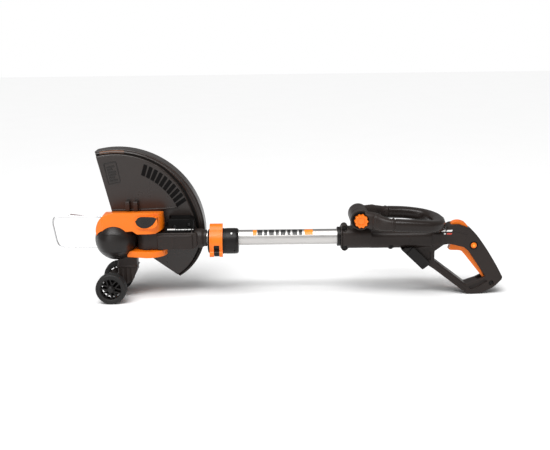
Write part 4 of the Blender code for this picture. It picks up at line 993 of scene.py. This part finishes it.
def guard_section(angle):
    """The guard's wall cut by a plane through the cutting axis, as (radius, y) points all round."""
    edge = edge_radius(angle)
    width = rim_width(angle)
    face = edge - width
    return [(9, 25), (40, 25), (80, 25), (face - 3, 25), (face - 1.4, 25.15), (face - 0.5, 25.7),
            (face + 0.2, 26.7), (face + 0.5, 27.9), (face + 1, 28.3), (face + 0.26 * width, 28.3),
            (face + 0.32 * width, 27.9), (face + 0.38 * width, 27.1), (face + 0.46 * width, 26.7),
            (face + 0.54 * width, 27.1), (face + 0.60 * width, 27.9), (face + 0.66 * width, 28.2),
            (edge - 2.6, 28.2), (edge - 2.1, 27.6), (edge - 1.3, 27.3), (edge - 0.6, 27.6), (edge - 0.1, 28.4),
            (edge, 29.6), (edge, 61), (edge - 0.4, 61.8), (edge - 1.5, 62), (edge - 2.6, 61.8),
            (edge - 3, 61), (edge - 3, 33.4), (edge - 3.6, 31.8), (edge - 5.2, 31), (80, 31), (9, 31)]


def painted_shade_section(angle):
    """A dark strip of painted shade that lies in the groove between the face and the rim's bead."""
    width = rim_width(angle)
    face = edge_radius(angle) - width
    low, high = face + 0.9, face + 0.3 * width
    return [(low, 27.9), (low, 28.8), (high, 28.8), (high, 27.9)]


def guard_sweep(section, start, span, count):
    """A section that runs round the cutting axis from the start angle down through span degrees."""
    rings = []
    for i in range(count + 1):
        angle = start - span * i / count
        t = math.radians(angle)
        rings.append([(SPOOL[0] + r * math.cos(t), y, SPOOL[1] + r * math.sin(t)) for r, y in section(angle)])
    return skinned(rings)


def on_guard(radius, angle):
    t = math.radians(angle)
    return (SPOOL[0] + radius * math.cos(t), SPOOL[1] + radius * math.sin(t))


def make_guard():
    guard = guard_sweep(guard_section, GUARD_START, GUARD_SPAN, 140)
    guard.join(rod(SPOOL, 35.7, 25.2, 31.5))
    ridge = [(-292, 48.6), (-240, 49), (-196, 50.6), (-180, 52.4), (-172, 51.6), (-196, 48.2),
             (-240, 45.8), (-292, 45.2)]
    emit(slab(ridge, 22.6, 25.4).rounded(0.7, 3), "guard_ridge", GUARD, "head")
    for index, x in enumerate((-267, -252.5)):
        tab = box((x, 12, 48), (x + 7.5, 25.6, 64.5)).rounded(0.8, 3)
        emit(tab, "guard_tab_%d" % (index + 1), GUARD, "head")
    step = [on_guard(152, -27), on_guard(152, -38.5), on_guard(edge_radius(-33) - 2.4, -38.5),
            on_guard(edge_radius(-28) - 2.4, -28)]
    guard.cut(slab(step, 31.5, 70))
    low, high = -289, -262
    for z in (WIRE_TOP, WIRE_BOTTOM):
        guard.join(box((low, 30.4, z - 3.6), (high, 38.4, z + 3.6)).rounded(0.8, 2))
        guard.cut(rod((WIRE_Y, z), 1.8, low - 20, high + 20, "X", 24))
    guard.cut(rod(SPOOL, 13, 20, 42))
    for x, z in GUARD_SCREWS:
        guard.cut(rod((x, z), 3.7, 30.9, 50), rod((x, z), 1.7, 20, 40, "Y", 24))
    emit(guard, "guard_shell", GUARD, "head", "guard")
    for index, (x, z) in enumerate(GUARD_SCREWS):
        screw("guard_screw_%d" % (index + 1), "head", x, z, 33.4, -7.5, 3.4, 1.4)
    ribs = []
    for i in range(10):
        angle = 68.6 - 4.35 * i
        corners = [on_guard(139, angle), on_guard(139, angle - 2.9), on_guard(118.5, angle - 4.3),
                   on_guard(118.5, angle - 0.9)]
        ribs.append(slab(corners, 24, 25.5).rounded(0.5, 2))
    emit(ribs[0].add(*ribs[1:]), "guard_raised_ribs", RIB_AND_SHADE, "head")
    # Painted shade: a near-black strip laid in the rim's groove to darken it.
    shade_strip = guard_sweep(painted_shade_section, GUARD_START - 0.4, GUARD_SPAN - 0.8, 120)
    emit(shade_strip, "guard_rim_painted_shade", RIB_AND_SHADE, "head")
    # Painted reflection: a glossy brown strip on the rim's top lip stands for the streak of light the lip
    # catches.
    reflection_strip = arc(*SPOOL, 154, 100.5, 84, 24) + arc(*SPOOL, 149.8, 84, 100.5, 24)
    emit(slab(reflection_strip, 27.5, 29).rounded(0.4, 2), "guard_rim_painted_reflection", RIM_REFLECTION_BROWN, "head")
    turn = Matrix.Translation((-289.5, 0, 115)) @ Matrix.Rotation(math.radians(-11), 4, "Y")
    plate = slab(rounded_box(-11.5, -19.5, 11.5, 19.5, 2.5, 4), 24, 25.2, "Y",
                 [rounded_box(-10.3, -18.3, 10.3, 18.3, 1.7, 4)])
    rows = [slab(rounded_box(-7.6, z, width, z + 2.6, 0.9, 3), 23.8, 25.2) for z, width in
            ((-15, 7), (-10, 3), (-5, 6.4), (0, 7.4), (5, 2), (10, 6.6))]
    emit(plate.add(*rows).moved(turn), "guard_raised_frame", GLOSS, "head")


def make_wire_guard():
    tip = -HALF_LENGTH + WIRE_RADIUS
    corner = curve([(-390, WIRE_TOP), (-400.5, 31.5), (tip, 22)], 10)
    bend = curve([(tip + 5.5, -11), (tip + 9.5, -19), (-384, WIRE_BOTTOM)], 10)
    legs = (-215, -300, -370)
    path = [(x, WIRE_TOP) for x in legs] + corner + bend + [(x, WIRE_BOTTOM) for x in reversed(legs)]
    wire = tube([(x, WIRE_Y, z) for x, z in path], WIRE_RADIUS, WIRE_RADIUS, 20)
    emit(wire, "wire_guard_loop", STEEL, "wire_guard", "wire_guard", smooth=60)


# Wheels

TREAD_EDGE = ((19, 8), (19.6, 8.6), (22, 8.9), (24.5, 9), (25.9, 8.4), (26.8, 7.2), (27, 6))


def make_wheels():
    barrel = turned([(0, -34), (16, -34), (17, -33), (17, -30), (15, -22), (12.6, -15),
                     (12, -10), (12, 10), (12.6, 15), (15, 22), (17, 30), (17, 33),
                     (16, 34), (0, 34)], WHEEL, "Y")
    stem = slab([(-281, -30), (-247, -24), (-247, -56), (-256, -74), (-272, -84),
                 (-288, -88), (-295, -70), (-281, -60)], -14, 14).rounded(3, 4)
    stem.add(barrel)
    stem.add(box((-283, -15.2, -49.5), (-245.6, 15.2, -46.5)).rounded(0.9, 2))
    for x in (-274, -266, -258):
        stem.add(box((x, -15.4, -76), (x + 2.2, 15.4, -50)).rounded(0.8, 2))
    stem.moulded(0.6, 4)
    stem.cut(motor_clearance(), rod(WHEEL, 3.3, -40, 40))
    stem.cut(box((-262.5, -30, -28.3), (-240, 30, 0)))
    emit(stem, "wheel_bracket_arm", CHARCOAL, "head", "wheel_bracket")
    axle = turned([(0, -53.6), (3, -53.6), (3, 53.6), (0, 53.6)], WHEEL, "Y", 32)
    emit(axle, "wheel_axle_rod", STEEL, "head", "wheel_axle")
    for name, y in (("near", -44), ("far", 44)):
        tread = [(radius, y - out) for radius, out in TREAD_EDGE]
        for step in range(-4, 5):
            middle = y + step * 1.25
            tread += [(27, middle - 0.42), (26.5, middle - 0.2), (26.5, middle + 0.2), (27, middle + 0.42)]
        tread += [(radius, y + out) for radius, out in reversed(TREAD_EDGE)]
        dish = [(20.4, y - 12), (23.4, y - 12), (23.4, y - 8.5), (20.4, y - 8.5)]
        tyre = turned(tread, WHEEL, "Y", 96).cut(turned(dish, WHEEL, "Y", 96))
        emit(tyre, "wheel_%s_tyre" % name, TYRE, "wheel_" + name, "wheel_" + name)
        hub = turned([(3.3, y - 7.5), (5.4, y - 7.5), (6.4, y - 6.8), (6.6, y - 6), (6.6, y + 6),
                      (6.4, y + 7.2), (5.4, y + 8), (3.3, y + 8)], WHEEL, "Y", 64)
        hub.join(turned([(18, y - 7.4), (19.4, y - 7.8), (19.4, y + 7.8), (18, y + 7.4)], WHEEL, "Y", 96))
        for index in range(3):
            for z in (-3.4, 3.4):
                for low, high in ((-18.6, -5), (5, 18.6)):
                    bar = box((low, y - 4.2, z - 1.3), (high, y + 4.2, z + 1.3)).rounded(0.4, 2)
                    hub.join(bar.moved(about(WHEEL, 60 * index + 15)))
        emit(hub, "wheel_%s_hub" % name, DARK, "wheel_" + name)
        side = -1 if name == "near" else 1
        end = turned([(0, side * 55.6), (2.6, side * 55.5), (4.2, side * 55.1), (5.1, side * 54.5),
                      (5.4, side * 53.7), (5.4, side * 53.3), (3.3, side * 53.3), (3.3, side * 53.9),
                      (0, side * 53.9)], WHEEL, "Y", 48)
        emit(end, "axle_cap_%s_button" % name, DARK_STEEL, "head", "axle_cap_" + name)


# CAD nodes that are right as they are

KEPT = {"control_board": BOARD, "power_switch": DARK, "power_lead": DARK, "tube_bush": DARK,
        "motor_can": STEEL, "motor_rotor": STEEL, "line_spool": WHITE, "line_winding": NYLON,
        "line_cutter": STEEL, "trigger_spring": STEEL, "tilt_spring": STEEL, "spool_spring": STEEL}


def finish_kept_nodes():
    """Gives the carried-over nodes their materials and leaves their meshes and places alone."""
    for name, look in KEPT.items():
        node = NODES[name]
        node.material_slots[0].link = "OBJECT"
        node.material_slots[0].material = look


make_stage()
make_line()
make_housing()
make_controls()
make_battery_dock()
make_aux_handle()
make_shaft()
make_clamp()
make_neck()
make_yoke()
make_motor()
make_spool()
make_guard()
make_wire_guard()
make_wheels()
finish_kept_nodes()
